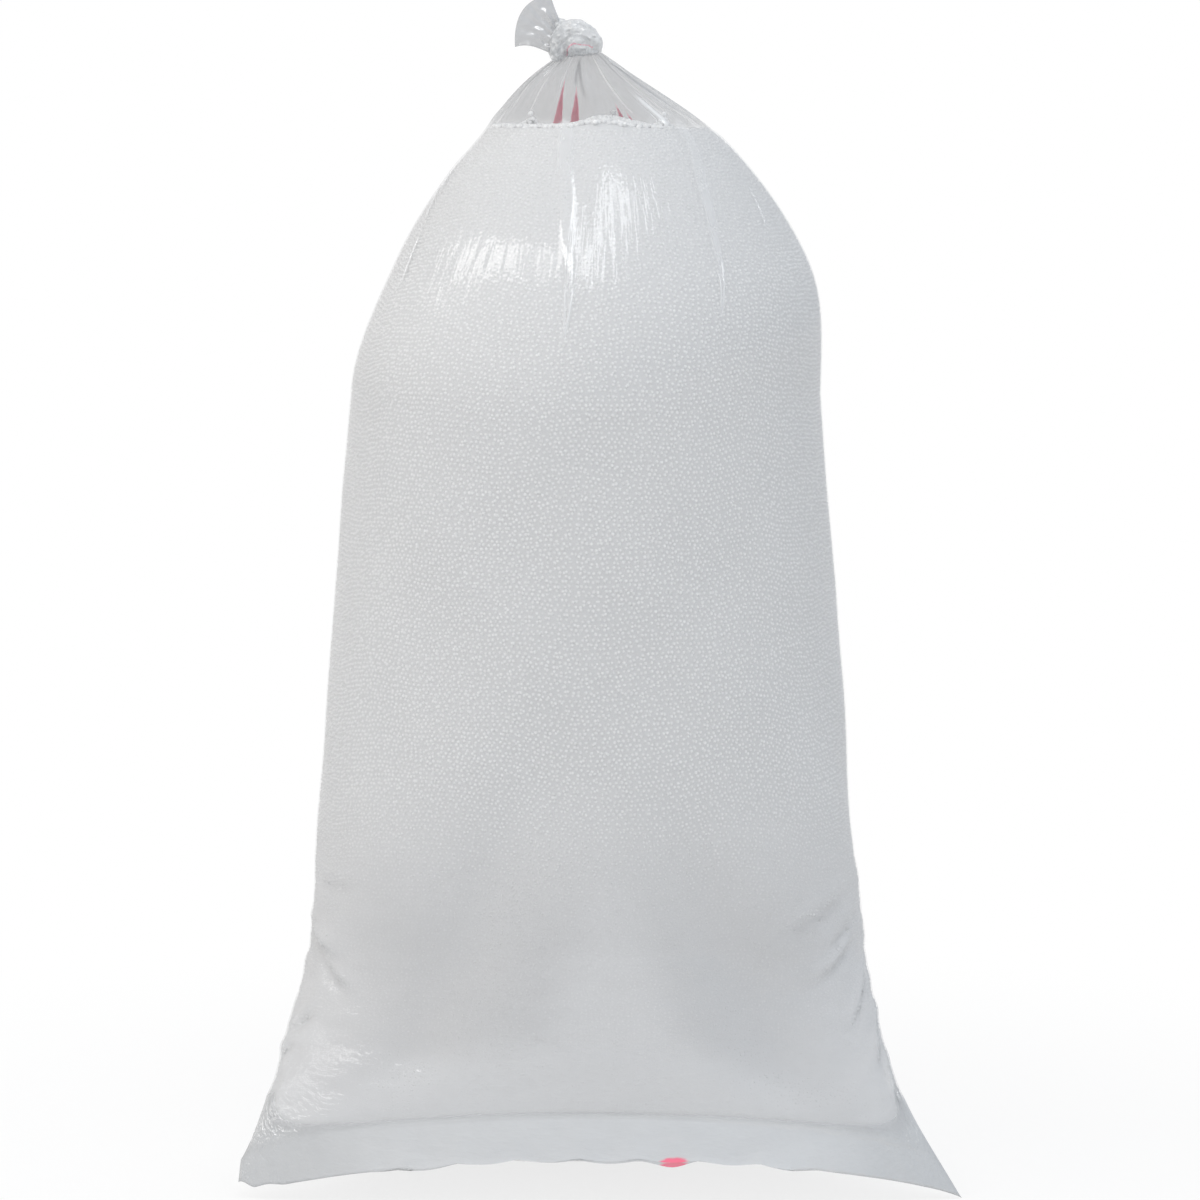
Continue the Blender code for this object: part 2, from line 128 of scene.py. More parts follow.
# Beads
BEAD_DIAMETER = 0.0045
BEAD_RADIUS = 0.5 * BEAD_DIAMETER
BEAD_GAP = 0.0006
BEAD_PITCH = 1.01 * BEAD_DIAMETER
ROW_PITCH = BEAD_PITCH * math.sqrt(0.75)
THIN_SHARE = 0.45
MOUND_RISE = 0.0105
BEAD_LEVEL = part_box("bead_fill")[1][2] - MOUND_RISE
BEADS_A_PIECE = 30000
LOOSE_BEADS = [np.array(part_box(f"loose_bead_{number}")) for number in (1, 2, 3)]
# Painted shade: the beads' rims and the core are painted this far towards the shaded bead colour, so the gaps
# between beads look darker
GAP_SHADE_TONE = 0.20

# How fine the meshes are
FILM_COLUMNS = 440
FIN_RINGS = 12
BASE_RINGS = 84
BODY_RINGS = 46
CONE_RINGS = 72
BEAD_COLUMNS = 480
BEAD_BASE_RINGS = 200
CONE_SHARES = np.linspace(0.0, 1.0, 161)
DOME_SIDES = 6

# What the pieces stand for: their material slot and the solid's node
FILM = ("clear_film", ["bag_film"])
FOAM = ("expanded_polystyrene", ["bead_fill"])

# Camera and studio
CAMERA_DISTANCE = 4.0
CAMERA_HEIGHT = 0.95
CAMERA_PITCH = math.radians(6.31)
CAMERA_LENS = 136.35
LAMP_DISTANCE = 3.0
LAMP_RADIANCE = 4.0
LAMP_AIM = Vector((0.0, 0.0, 0.75))
WORLD_LEFT = (0.82, 0.80, 0.78, 1.0)
WORLD_RIGHT = (0.77, 0.81, 0.86, 1.0)
FLOOR_HALF = 30.0

# Lamps: name, azimuth, elevation and roll in degrees, width, height and colour
LAMPS = [
    ("softbox_left", -66, 41, 15, 3.4, 0.52, (1.0, 0.985, 0.965)),
    ("softbox_right", 3, 56, -32, 0.95, 2.2, (0.965, 0.985, 1.0)),
]

RANDOM = np.random.default_rng(7)


def ease(share):
    """Ease from 0 to 1 with a level start and end."""
    share = np.clip(share, 0.0, 1.0)
    return share * share * (3.0 - 2.0 * share)


def hump(value, centre, width):
    """A smooth hump of height 1."""
    return np.exp(-((value - centre) / width)**2)


def bezier(corners, share):
    """Points along a cubic Bezier curve, one for each share of the way."""
    a, b, c, d = (np.array(corner, float) for corner in corners)
    share = np.asarray(share, float)[:, None]
    rest = 1.0 - share
    return a * rest**3 + b * (3 * rest * rest * share) + c * (3 * rest * share * share) + d * share**3


def half_depth(half_width):
    """The depth that the film's circumference leaves at each width, and never more than round."""
    low = np.zeros_like(half_width)
    high = half_width.copy()
    for _ in range(40):
        middle = 0.5 * (low + high)
        girth = math.pi * (3.0 * (half_width + middle)
                           - np.sqrt((3.0 * half_width + middle) * (half_width + 3.0 * middle)))
        short = girth < FILM_CIRCUMFERENCE
        low = np.where(short, middle, low)
        high = np.where(short, high, middle)
    return low


def make_rings(centre_x, half_width, side, front, back, front_edge, back_edge):
    """A run of rings as rows: centre, half width, side, front and back points, front and back edges."""
    rows = [centre_x, half_width, *side.T, *front.T, *back.T, front_edge, back_edge]
    return np.array([np.broadcast_to(row, half_width.shape) for row in rows], float)


def lay(rings, azimuth):
    """The points of every ring at every azimuth, as an array of ring, azimuth and coordinate."""
    centre_x, half_width, side_y, side_z, front_y, front_z, back_y, back_z, *edges = rings[..., None]
    behind = np.cos(azimuth)[None, :] < 0.0
    reach = np.abs(np.cos(azimuth))[None, :]**(2.0 * np.where(behind, edges[1], edges[0]))
    x = centre_x + half_width * np.sin(azimuth)[None, :]
    y = side_y + (np.where(behind, back_y, front_y) - side_y) * reach
    z = side_z + (np.where(behind, back_z, front_z) - side_z) * reach
    return np.stack([x, y, np.maximum(z, 0.0)], axis=2)


def thickness(rings, azimuth):
    """How far apart front and back film are at every place. Only shallow rings pinch at their sides."""
    front_y, front_z, back_y, back_z, edge = rings[4:9, :, None]
    apart = np.hypot(front_y - back_y, front_z - back_z)
    return np.maximum(apart * np.abs(np.cos(azimuth))[None, :]**(2.0 * edge), apart - PINCH_DEPTH)


def upright_rings(height, half_width):
    """Level rings of the body and of the gathered cone."""
    away = ease((height - SHOULDER_HEIGHT) / SWAY_RISE)
    back = ease((NECK_HEIGHT - height) / SWAY_FALL)
    centre_x = BODY_CENTRE_X + SHOULDER_SWAY * away * back + (NECK_CENTRE_X - BODY_CENTRE_X) * (1.0 - back)
    depth = half_depth(half_width)
    side = np.stack([0.0 * height, height], axis=1)
    front = np.stack([-depth, height], axis=1)
    rear = np.stack([depth, height], axis=1)
    return make_rings(centre_x, half_width, side, front, rear, ROUND_EDGE, ROUND_EDGE)


def fin_rings(share):
    """Rings of the sealed fin from its free edge up to the seal, its two layers slightly apart."""
    drop = FIN_HEIGHT * (1.0 - share)
    flare = FIN_FLARE * (1.0 - share)
    middle = np.stack([SEAL_Y - flare, SEAL_HEIGHT - drop], axis=1)
    wall = np.stack([FIN_OPENING * (1.2 - share), 0.0 * share], axis=1)
    side = np.stack([EAR_Y - EAR_FLARE_SHARE * flare, FIN_HEIGHT - drop], axis=1)
    half_length = SEAL_HALF_LENGTH + EAR_SPREAD * (1.0 - share)
    return make_rings(SEAL_CENTRE_X * share, half_length, side, middle - wall, middle + wall,
                      SEAL_EDGE, SEAL_EDGE)


def base_rings(share):
    """Rings between the seal, where front and back film meet, and the level hip."""
    hip_depth = half_depth(np.array([HIP_HALF_WIDTH]))[0]
    lean = HIP_WIDENING / BODY_HEIGHT
    ear = (SEAL_HALF_LENGTH, FIN_HEIGHT)
    above_ear = (ear[0] - FLANK_HANDLE * math.sin(EAR_LEAN), ear[1] + FLANK_HANDLE * math.cos(EAR_LEAN))
    below_hip = (HIP_HALF_WIDTH + FLANK_HANDLE * lean, HIP_HEIGHT - FLANK_HANDLE)
    edge = bezier([ear, above_ear, below_hip, (HIP_HALF_WIDTH, HIP_HEIGHT)], share)
    seal = (SEAL_Y, SEAL_HEIGHT)
    front = bezier([seal, (SEAL_Y, SEAL_HEIGHT + FRONT_HANDLE), (-hip_depth, HIP_HEIGHT - FRONT_HANDLE),
                    (-hip_depth, HIP_HEIGHT)], share)
    back = bezier([seal, (SEAL_Y + UNDERSIDE_REACH, SEAL_HEIGHT - UNDERSIDE_DIP),
                   (hip_depth + HEEL_REACH, HIP_HEIGHT - HEEL_DROP), (hip_depth, HIP_HEIGHT)], share)
    centre_x = SEAL_CENTRE_X + (BODY_CENTRE_X - SEAL_CENTRE_X) * ease(BASE_CENTRING * share)
    side = np.stack([EAR_Y * (1.0 - ease(share)), edge[:, 1]], axis=1)
    front_edge = SEAL_EDGE + (ROUND_EDGE - SEAL_EDGE) * share
    back_edge = front_edge - UNDERSIDE_FULLNESS * np.sin(math.pi * share)
    return make_rings(centre_x, edge[:, 0], side, front, back, front_edge, back_edge)


def body_rings(share):
    """Rings between the hip and the shoulder, whose sides lean in evenly."""
    return upright_rings(HIP_HEIGHT + BODY_HEIGHT * share, HIP_HALF_WIDTH - HIP_WIDENING * share)


def cone_rings(share):
    """Rings from the shoulder up the gathered cone to the throat of the knot."""
    below_neck = (NECK_RADIUS + NECK_HANDLE * math.sin(NECK_SLOPE),
                  NECK_HEIGHT - NECK_HANDLE * math.cos(NECK_SLOPE))
    shoulder = (SHOULDER_RADIUS, SHOULDER_HEIGHT)
    above_shoulder = (SHOULDER_RADIUS, SHOULDER_HEIGHT + SHOULDER_HANDLE)
    outline = bezier([shoulder, above_shoulder, below_neck, (THROAT_RADIUS, THROAT_HEIGHT)], share)
    return upright_rings(outline[:, 1], outline[:, 0])


def steps(count, first=0.0):
    """Shares of the way after the start, up to and with the end."""
    return first + (1.0 - first) * np.arange(1, count + 1) / count


def normals_of(points):
    """Outward normals of a grid of points that closes on itself along its second axis."""
    around = np.roll(points, -1, axis=1) - np.roll(points, 1, axis=1)
    upward = np.gradient(points, axis=0)
    normal = np.cross(around, upward)
    return normal / np.maximum(np.linalg.norm(normal, axis=2, keepdims=True), 1e-12)


def wavy(points, waves, octaves=2, stretch=(1.0, 1.0, 1.0)):
    """Smooth noise from about -1 to 1 at each point of a grid, at so many waves a metre."""
    flat = (points * (np.array(stretch) * waves)).reshape(-1, 3)
    values = [noise.fractal(Vector(point), 1.0, 2.0, octaves) for point in flat]
    return np.array(values).reshape(points.shape[:-1])


def on_flat_film(azimuth, height):
    """Each point's place on the film before it was gathered: on a cylinder, so that it has no seam."""
    x = SHOULDER_RADIUS * np.sin(azimuth)[None, :] + 0.0 * height
    y = -SHOULDER_RADIUS * np.cos(azimuth)[None, :] + 0.0 * height
    return np.stack([x, y, height], axis=2)


# Folds that the beads follow too: azimuth in degrees, height, slope in degrees, half length, width and depth
FOLDS = [
    (-66, 0.262, 4, 0.060, 0.0045, 0.0026),
    (-74, 0.208, -16, 0.060, 0.0060, 0.0055),
    (-64, 0.186, -24, 0.045, 0.0050, 0.0035),
    (-76, 0.140, 24, 0.040, 0.0045, 0.0035),
    (-82, 0.118, 20, 0.030, 0.0040, 0.0028),
    (58, 0.240, 17, 0.062, 0.0050, 0.0042),
    (70, 0.222, 20, 0.050, 0.0040, 0.0030),
    (64, 0.196, 24, 0.050, 0.0050, 0.0030),
    (72, 0.160, 34, 0.040, 0.0045, 0.0034),
    (78, 0.128, 42, 0.035, 0.0045, 0.0034),
    (80, 0.096, 50, 0.030, 0.0060, 0.0050),
    (118, 0.235, -12, 0.070, 0.0060, 0.0045),
    (-120, 0.200, 14, 0.070, 0.0060, 0.0045),
    (150, 0.160, 8, 0.060, 0.0060, 0.0040),
    (-152, 0.250, -6, 0.070, 0.0060, 0.0040),
]


def away_from(azimuth, degrees, radius=SHOULDER_RADIUS):
    """Distance round the bag from a line at so many degrees, the shortest way."""
    turn = azimuth[None, :] - np.radians(degrees)
    return radius * np.arctan2(np.sin(turn), np.cos(turn))


def neck_distance(points):
    """Distance of every point from the upright line through the neck."""
    return np.hypot(points[..., 0] - NECK_CENTRE_X, points[..., 1])


def fold(azimuth, height, degrees, level, slope, half_length, width, depth):
    """A crease with a ridge on its upper side, which fades towards both of its ends."""
    across = away_from(azimuth, degrees)
    along = across * math.cos(math.radians(slope)) + (height - level) * math.sin(math.radians(slope))
    beside = (height - level) * math.cos(math.radians(slope)) - across * math.sin(math.radians(slope))
    shape = 0.7 * hump(beside, 1.8 * width, 1.2 * width) - hump(beside, 0.0, width)
    return depth * shape * ease(1.4 * (1.0 - np.abs(along) / half_length))


def valley_press(azimuth, height):
    """How deep the valleys are at every place. They widen down to the hip and fade out above the seal."""
    below_top = HIP_HEIGHT + VALLEY_RUN - height
    share = below_top / (HIP_HEIGHT + VALLEY_RUN - SEAL_HEIGHT)
    down = ease(below_top / VALLEY_RUN)
    width = VALLEY_TOP_WIDTH + (VALLEY_WIDTH - VALLEY_TOP_WIDTH) * down
    press = sum(hump(away_from(azimuth, top + (foot - top) * share), 0.0, width) for top, foot in VALLEYS)
    return VALLEY_DEPTH * press * down * ease((height - SEAL_HEIGHT) / RELIEF_FADE)


def swell_rise(azimuth, height):
    """How far the swells stand out at every place. They end at the shoulder and above the seal."""
    rise = sum(size * np.sin(waves * azimuth[None, :] + climb * height + phase)
               for waves, climb, phase, size in SWELLS)
    return rise * ease((SHOULDER_HEIGHT - height) / SWELL_FADE) * ease((height - SEAL_HEIGHT) / RELIEF_FADE)


def flank_share(azimuth):
    """1 on the bag's left and right flanks, easing to 0 on its front and back."""
    return ease((1.0 - np.cos(azimuth)[None, :]**2) * 1.6 - 0.5)


def soft_shape(points, azimuth):
    """How far beads and film together stand out from the plain shape, along its normal."""
    height = points[..., 2]
    place = on_flat_film(azimuth, height)
    shape = swell_rise(azimuth, height) - valley_press(azimuth, height)
    shape += 0.0016 * wavy(place, 6.0) * ease((0.97 - height) / 0.1) * ease((height - 0.55) / 0.1)
    for row in FOLDS:
        shape += fold(azimuth, height, *row)
    side = flank_share(azimuth)
    crush = ease((0.33 - height) / 0.10) * ease((height - 0.015) / 0.05) * (0.25 + 0.75 * side)
    shape += 0.0024 * wavy(place + 3.0, 16.0, 2, (1.0, 1.0, 2.6)) * crush
    return shape


# Tucks, where the film lies double: heights, azimuths in degrees and half widths along each one's line
TUCKS = [
    ((0.742, 0.773, 0.823, 0.864, 0.905, 0.939, 0.985), (-6.8, -7.0, -9.2, -11.2, -15.5, -17.5, -18.0),
     (-0.0010, 0.0016, 0.0052, 0.0064, 0.0068, 0.0064, 0.0030)),
    ((0.760, 0.787, 0.830, 0.880, 0.922, 0.985), (32.0, 32.8, 33.8, 37.8, 46.2, 70.0),
     (-0.0012, 0.0020, 0.0042, 0.0066, 0.0070, 0.0040)),
    ((0.800, 0.850, 0.900, 0.985), (150.0, 152.0, 156.0, 165.0), (-0.0010, 0.0045, 0.0066, 0.0040)),
    ((0.770, 0.840, 0.900, 0.985), (-128.0, -132.0, -138.0, -150.0), (-0.0010, 0.0050, 0.0068, 0.0040)),
]

# Stands for far from every tuck and every printed field
FAR = 0.05

TUCK_RISE = 0.0009
TUCK_SLOPE = 0.007

# Narrow creases in the film of the cone: lower and upper height, azimuths at both, and height of the crease
CREASES = [
    (0.785, 0.905, -69, -84, 0.0009),
    (0.830, 0.915, -60, -74, 0.0007),
    (0.800, 0.930, 52, 74, 0.0007),
    (0.820, 0.925, 61, 84, 0.0006),
    (0.860, 0.945, 18, 26, 0.0005),
    (0.850, 0.945, -36, -48, 0.0006),
    (0.840, 0.940, 108, 122, 0.0008),
    (0.850, 0.945, -104, -116, 0.0008),
    (0.830, 0.930, 176, 178, 0.0007),
]
CREASE_WIDTH = 0.0050


def tuck_distance(points, azimuth):
    """Signed distance to the nearest tuck's edge, negative inside, at the film's real size there."""
    height = points[..., 2]
    radius = neck_distance(points)
    nearest = np.full(height.shape, FAR)
    for heights, degrees, widths in TUCKS:
        across = np.abs(away_from(azimuth, np.interp(height, heights, degrees), radius))
        distance = across - np.interp(height, heights, widths)
        nearest = np.minimum(nearest, np.where(height < heights[0], FAR, distance))
    return nearest


def film_detail(points, azimuth):
    """How far the film alone stands out from the beads and from its plain shape."""
    height = points[..., 2]
    place = on_flat_film(azimuth, height)
    wander = 0.5 * wavy(place, 4.0)
    turn = azimuth[None, :] + wander * 0.25
    gather = ease((height - 0.86) / 0.10)
    free = ease((height - 0.925) / 0.02)
    wide = 0.5 + 0.5 * np.cos(15 * turn + 2.0 * wander) - 0.6 * free
    fine = 0.5 + 0.5 * np.cos(38 * turn + 5.0 * wander) - 0.5 * free
    shape = gather * (0.0006 + 0.0020 * free) * wide + gather * (0.0003 + 0.0008 * free) * fine
    shape *= np.minimum(1.0, neck_distance(points) / 0.03)
    shape += TUCK_RISE * ease(0.5 - tuck_distance(points, azimuth) / TUCK_SLOPE)
    for *line, crease in CREASES:
        shape += crease * line_share(points, azimuth, *line)
    return shape


def scallop(points, share, behind):
    """How far the fin's free edge hangs in small arcs, the back layer a little lower than the front."""
    x = points[..., 0]
    arcs = np.abs(np.sin(math.pi * (x - SCALLOP_START) / SCALLOP_PITCH))
    lower = 0.0016 + 0.0012 * np.sin(31.0 * x + 1.0) + 0.0030 * hump(x, 0.063, 0.014)
    hang = SCALLOP_DEPTH * (0.45 - arcs) - np.where(behind, lower, 0.0)
    hang = hang * ease((SCALLOP_REACH - np.abs(x)) / 0.05)
    left_tip = LEFT_TIP_LIFT * ease((-x - 0.270) / 0.02) + LEFT_TIP_ROUND * ease((-x - 0.298) / 0.016)
    return (hang + left_tip) * (1.0 - share)


def film_grid(azimuth):
    """The film skin as a grid of points, its plain shape without folds, and how thick the bag is there."""
    fin = fin_rings(np.concatenate([[0.0], steps(FIN_RINGS - 1)]))
    base = base_rings(steps(BASE_RINGS))
    body = body_rings(steps(BODY_RINGS))
    cone = cone_rings(steps(CONE_RINGS))
    rings = np.concatenate([fin, base, body, cone], axis=1)
    plain = lay(rings, azimuth)
    behind = (np.cos(azimuth) < 0.0)[None, :]
    shape = soft_shape(plain, azimuth) + film_detail(plain, azimuth)
    thin = thickness(rings, azimuth)
    thin[:FIN_RINGS] = 0.0
    shape *= ease(thin / FOLD_FADE)
    points = plain + normals_of(plain) * shape[..., None]
    share = np.linspace(0.0, 1.0, FIN_RINGS)[:, None]
    points[:FIN_RINGS, :, 2] += scallop(plain[:FIN_RINGS], share, behind)
    points[:FIN_RINGS, :, 1] += 0.0014 * wavy(plain[:FIN_RINGS], 28.0) * (1.0 - 0.6 * share)
    points[..., 2] = np.maximum(points[..., 2], FLOOR_GAP)
    return points, plain, thin


def grid_faces(rings, columns):
    """Quads of a grid that closes on itself along its columns."""
    ring = np.arange(rings - 1)[:, None] * columns
    column = np.arange(columns)[None, :]
    after = (column + 1) % columns
    return np.stack([ring + column, ring + after, ring + columns + after, ring + columns + column],
                    axis=2).reshape(-1, 4)


def fin_edge_faces(columns):
    """Narrow quads that join the fin's two layers at its free edge near the ears. Its middle stays open."""
    front = np.arange(columns // 4 + 1, 3 * columns // 4 - 1)
    front = front[np.abs(front - columns // 2) > FIN_OPEN_SHARE * columns // 4]
    facing = 3 * columns // 2 - front
    return np.stack([facing % columns, (facing - 1) % columns, front + 1, front], axis=1)


def add_object(name, data):
    """A new object in the scene."""
    thing = bpy.data.objects.new(name, data)
    bpy.context.scene.collection.objects.link(thing)
    return thing


def make_piece(name, points, faces, material, slot, nodes):
    """A smooth mesh object that rides on the root and stands for CAD nodes."""
    mesh = bpy.data.meshes.new(name)
    points = np.asarray(points, float).reshape(-1, 3)
    faces = np.asarray(faces, int)
    mesh.vertices.add(len(points))
    mesh.vertices.foreach_set("co", points.ravel())
    corners = faces.shape[1]
    mesh.loops.add(faces.size)
    mesh.loops.foreach_set("vertex_index", faces.ravel())
    mesh.polygons.add(len(faces))
    mesh.polygons.foreach_set("loop_start", np.arange(0, faces.size, corners))
    mesh.polygons.foreach_set("use_smooth", np.ones(len(faces), bool))
    mesh.update(calc_edges=True)
    mesh.validate()
    mesh.materials.append(material)
    piece = add_object(name, mesh)
    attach(piece, "root")
    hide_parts(*nodes)
    return piece


def store(piece, **fields):
    """Keep numbers or vectors for the vertices of a piece, each set under its own name."""
    for name, values in fields.items():
        values = np.asarray(values, float)
        vector = values.shape[-1] == 3 and values.ndim > 2
        kind, field = ("FLOAT_VECTOR", "vector") if vector else ("FLOAT", "value")
        piece.data.attributes.new(name, kind, "POINT").data.foreach_set(field, values.ravel())


# Print that shows through from the back film: azimuth and height of foot and tip, and half width at the foot
PRINTS = [
    (202.5, 0.9210, 199.2, 0.970, 0.0052),
    (193.4, 0.9210, 187.0, 0.965, 0.0052),
    (166.5, 0.9240, 163.0, 0.948, 0.0036),
    (161.0, 0.9250, 160.5, 0.941, 0.0026),
]


# Print on the back layer at the fin's free edge: its middle and half size, across and up
MARK_MIDDLE = (0.063, 0.0405)
MARK_HALF = (0.014, 0.0070)
MARK_TOP = 0.07


def print_distance(points, azimuth):
    """Signed distance to the nearest printed field, negative inside."""
    x, height = points[..., 0], points[..., 2]
    radius = neck_distance(points)
    nearest = np.full(height.shape, FAR)
    for foot, low, tip, high, half in PRINTS:
        share = (height - low) / (high - low)
        across = np.abs(away_from(azimuth, foot + (tip - foot) * share, radius))
        distance = across - half * (1.0 - share)
        distance = np.where(share > 1.0, np.maximum(distance, across + 0.001), distance)
        nearest = np.minimum(nearest, np.maximum(distance, low - 0.02 - height))
    nearest = np.where(np.cos(azimuth)[None, :] > 0.0, FAR, nearest)
    mark = np.hypot((x - MARK_MIDDLE[0]) / MARK_HALF[0], (height - MARK_MIDDLE[1]) / MARK_HALF[1]) - 1.0
    return np.minimum(nearest, np.where(height < MARK_TOP, 0.004 * mark, FAR))


# Haze and shade of the film: in the neck in front and behind, over the beads, in the fin and in the ears. The
# grey shade is partly the film's own tint and partly painted shade, which makes the back of the neck, the fin
# and most of all the ears darker.
NECK_VEIL = (0.10, 0.25)
NECK_SHADE = (0.13, 0.42)
BODY_VEIL = 0.14
BODY_SHADE = 0.06
FIN_VEIL = 0.60
FIN_SHADE = 0.60
# Painted shade: the ears get less haze and more grey shade than the rest of the fin, so they are darker
EAR_VEIL = 0.52
EAR_SHADE = 0.76
EAR_START = 0.17

# Lines on the gathered film: lower and upper height, azimuths at both, half width on the flat film, then how
# much haze, shade and raised gloss each adds. Their white haze is painted highlight along glinting creases,
# and their shade is painted shade along dark pleats.
LINES = [
    # Painted shade: dark pleat lines in the neck
    (0.9565, 0.9850, -8.5, -5.0, 0.0110, 0.00, 0.45, 0.0),
    (0.9436, 0.9850, -2.0, -3.5, 0.0100, 0.00, 0.45, 0.0),
    # Painted highlight: white haze along glinting creases on the neck's right, the shoulders' edges and the
    # tucks' edges, with raised gloss too
    (0.9200, 0.9590, 39.6, 41.0, 0.0140, 0.45, 0.00, 0.0030),
    (0.9240, 0.9560, 34.0, 36.0, 0.0050, 0.25, 0.00, 0.0020),
    (0.9300, 0.9650, 52.0, 60.0, 0.0050, 0.20, 0.00, 0.0010),
    (0.8660, 0.9040, -71.0, -88.0, 0.0022, 0.80, 0.00, 0.0020),
    (0.8410, 0.8950, -68.0, -86.0, 0.0022, 0.80, 0.00, 0.0020),
    (0.7850, 0.8410, -66.0, -68.0, 0.0022, 0.70, 0.00, 0.0018),
    (0.8290, 0.8790, 57.2, 63.8, 0.0016, 0.20, 0.00, 0.0010),
    (0.7440, 0.8000, -6.8, -9.6, 0.0016, 0.35, 0.00, 0.0010),
    (0.7440, 0.7950, -6.9, -7.0, 0.0016, 0.35, 0.00, 0.0010),
    (0.7600, 0.8050, 32.0, 32.4, 0.0016, 0.30, 0.00, 0.0010),
    (0.7600, 0.8200, 32.2, 34.6, 0.0016, 0.35, 0.00, 0.0010),
]

# Where the film stands off the beads in front: the upper edge of the loose film above the seal, and the loose
# band that narrows upwards from it, as heights, middles and half widths
LOOSE_EDGE_X = (-0.240, -0.160, -0.050, 0.070, 0.133, 0.221)
LOOSE_EDGE_HEIGHT = (0.090, 0.125, 0.144, 0.144, 0.111, 0.070)
LOOSE_BAND_HEIGHT = (0.144, 0.200, 0.270, 0.332)
LOOSE_BAND_MIDDLE = (0.011, 0.008, 0.006, 0.007)
LOOSE_BAND_HALF = (0.055, 0.040, 0.022, 0.010)


def loose_share(points, azimuth):
    """1 where the film stands off the beads in the front of the base, else 0."""
    x, height = points[..., 0], points[..., 2]
    rough = 0.003 * wavy(on_flat_film(azimuth, height), 60.0, 3)
    below = np.interp(x, LOOSE_EDGE_X, LOOSE_EDGE_HEIGHT) - height
    half = np.interp(height, LOOSE_BAND_HEIGHT, LOOSE_BAND_HALF)
    beside = half - np.abs(x - np.interp(height, LOOSE_BAND_HEIGHT, LOOSE_BAND_MIDDLE))
    band = ease(0.5 + (beside + rough) / 0.050) * ease((LOOSE_BAND_HEIGHT[-1] - height) / 0.08)
    share = np.maximum(ease(0.5 + (below + rough) / 0.035), band)
    return share * (np.cos(azimuth)[None, :] > 0.0)


def line_share(points, azimuth, low, high, low_degrees, high_degrees):
    """How strongly a place lies on a crease up the gathered film."""
    height = points[..., 2]
    degrees = np.interp(height, (low, high), (low_degrees, high_degrees))
    across = away_from(azimuth, degrees, neck_distance(points))
    return hump(across, 0.0, CREASE_WIDTH) * ease((height - low) / 0.008) * ease((high - height) / 0.008)


def film_optics(points, azimuth, thin):
    """How hazy and how shaded the film is: over the beads, in the neck, in the fin and in the ears. Some of
    it is painted light: shade low down, in the back of the neck, in the fin and ears, and a highlight on the
    right of the neck.
    """
    height = points[..., 2]
    behind = ease(0.5 - 2.0 * np.cos(azimuth))[None, :]
    flat = ease(1.2 - thin / 0.025) * ease((0.17 - height) / 0.08)
    neck = ease((height - BEAD_LEVEL - 0.003 + 0.007 * behind) / 0.005)
    # Painted highlight: the front of the neck right of the middle gets extra white haze for its glints
    right = ease((points[..., 0] - 0.02) / 0.04) * neck * (1.0 - behind)
    ear = ease((np.abs(points[..., 0]) - EAR_START) / 0.09)
    loose = loose_share(points, azimuth)
    low = ease((0.34 - height) / 0.16)
    veil = BODY_VEIL + 0.06 * loose + 0.04 * ease((height - 0.70) / 0.20)
    veil += 0.06 * ease((0.16 - height) / 0.06)
    veil += 0.03 * wavy(on_flat_film(azimuth, height) + 9.0, 9.0)
    # Painted shade: the film over the beads is shaded darker towards the bottom, hardly where it stands off
    # the beads in front, and not on the flanks
    shade = BODY_SHADE + 0.08 * low * (1.0 - 0.9 * loose) * (1.0 - flank_share(azimuth))
    veil = veil + (FIN_VEIL + (EAR_VEIL - FIN_VEIL) * ear - veil) * flat
    shade = shade + (FIN_SHADE + (EAR_SHADE - FIN_SHADE) * ear - shade) * flat
    # Painted shade in part: the back half of the neck film is shaded far darker than its front half
    neck_veil, neck_shade = (front + (back - front) * behind for front, back in (NECK_VEIL, NECK_SHADE))
    veil = veil + (neck_veil - veil) * neck + 0.12 * right
    shade = shade + (neck_shade - shade) * neck
    return veil, shade


def film_length(height):
    """Distance up the film from the hip to a height in the body or the cone."""
    runs = [base_rings(np.ones(1)), body_rings(steps(BODY_RINGS)), cone_rings(steps(CONE_RINGS))]
    points = lay(np.concatenate(runs, axis=1), np.zeros(1))
    return float(np.interp(height, points[:, 0, 2], meridian_distance(points, 0)[:, 0]))


def meridian_distance(points, start):
    """Distance of every point from the start ring along its own meridian, negative below it."""
    step = np.linalg.norm(np.diff(points, axis=0), axis=2)
    run = np.concatenate([np.zeros((1, points.shape[1])), np.cumsum(step, axis=0)])
    return run - run[start]


def make_film_skin(material):
    """The body and the gathered cone of the bag, as one open sheet of film."""
    azimuth = np.linspace(-math.pi, math.pi, FILM_COLUMNS, endpoint=False)
    points, plain, thin = film_grid(azimuth)
    faces = np.concatenate([grid_faces(*points.shape[:2]), fin_edge_faces(FILM_COLUMNS)])
    skin = make_piece("film_skin", points, faces, material, *FILM)
    height = plain[..., 2]
    above_beads = ease((height - BEAD_LEVEL) / 0.01)
    length = meridian_distance(plain, FIN_RINGS + BASE_RINGS - 1)
    place = on_flat_film(azimuth, length)
    arc = SHOULDER_RADIUS * azimuth[None, :] + 0.0 * length
    degrees = np.degrees(azimuth)[None, :]
    left = hump(degrees, -37, 30) * hump(height, 0.808, 0.045)
    right = hump(degrees, 9, 18) * hump(height, 0.800 + 0.0019 * (degrees + 7.0), 0.045)
    rest = 0.08 * ease((height - 0.72) / 0.1)
    veil, shade = film_optics(plain, azimuth, thin)
    store(skin, unrolled=np.stack([arc, place[..., 1], length], axis=2), film=place, veil=veil, shade=shade,
          tuck=tuck_distance(plain, azimuth) + 0.01 * above_beads, print=print_distance(plain, azimuth),
          ripple=np.clip(left + right + rest, 0.0, 1.0) * ease((0.95 - height) / 0.03),
          crush=ease((0.36 - height) / 0.16) * (0.35 + 0.65 * flank_share(azimuth)))
    return skin


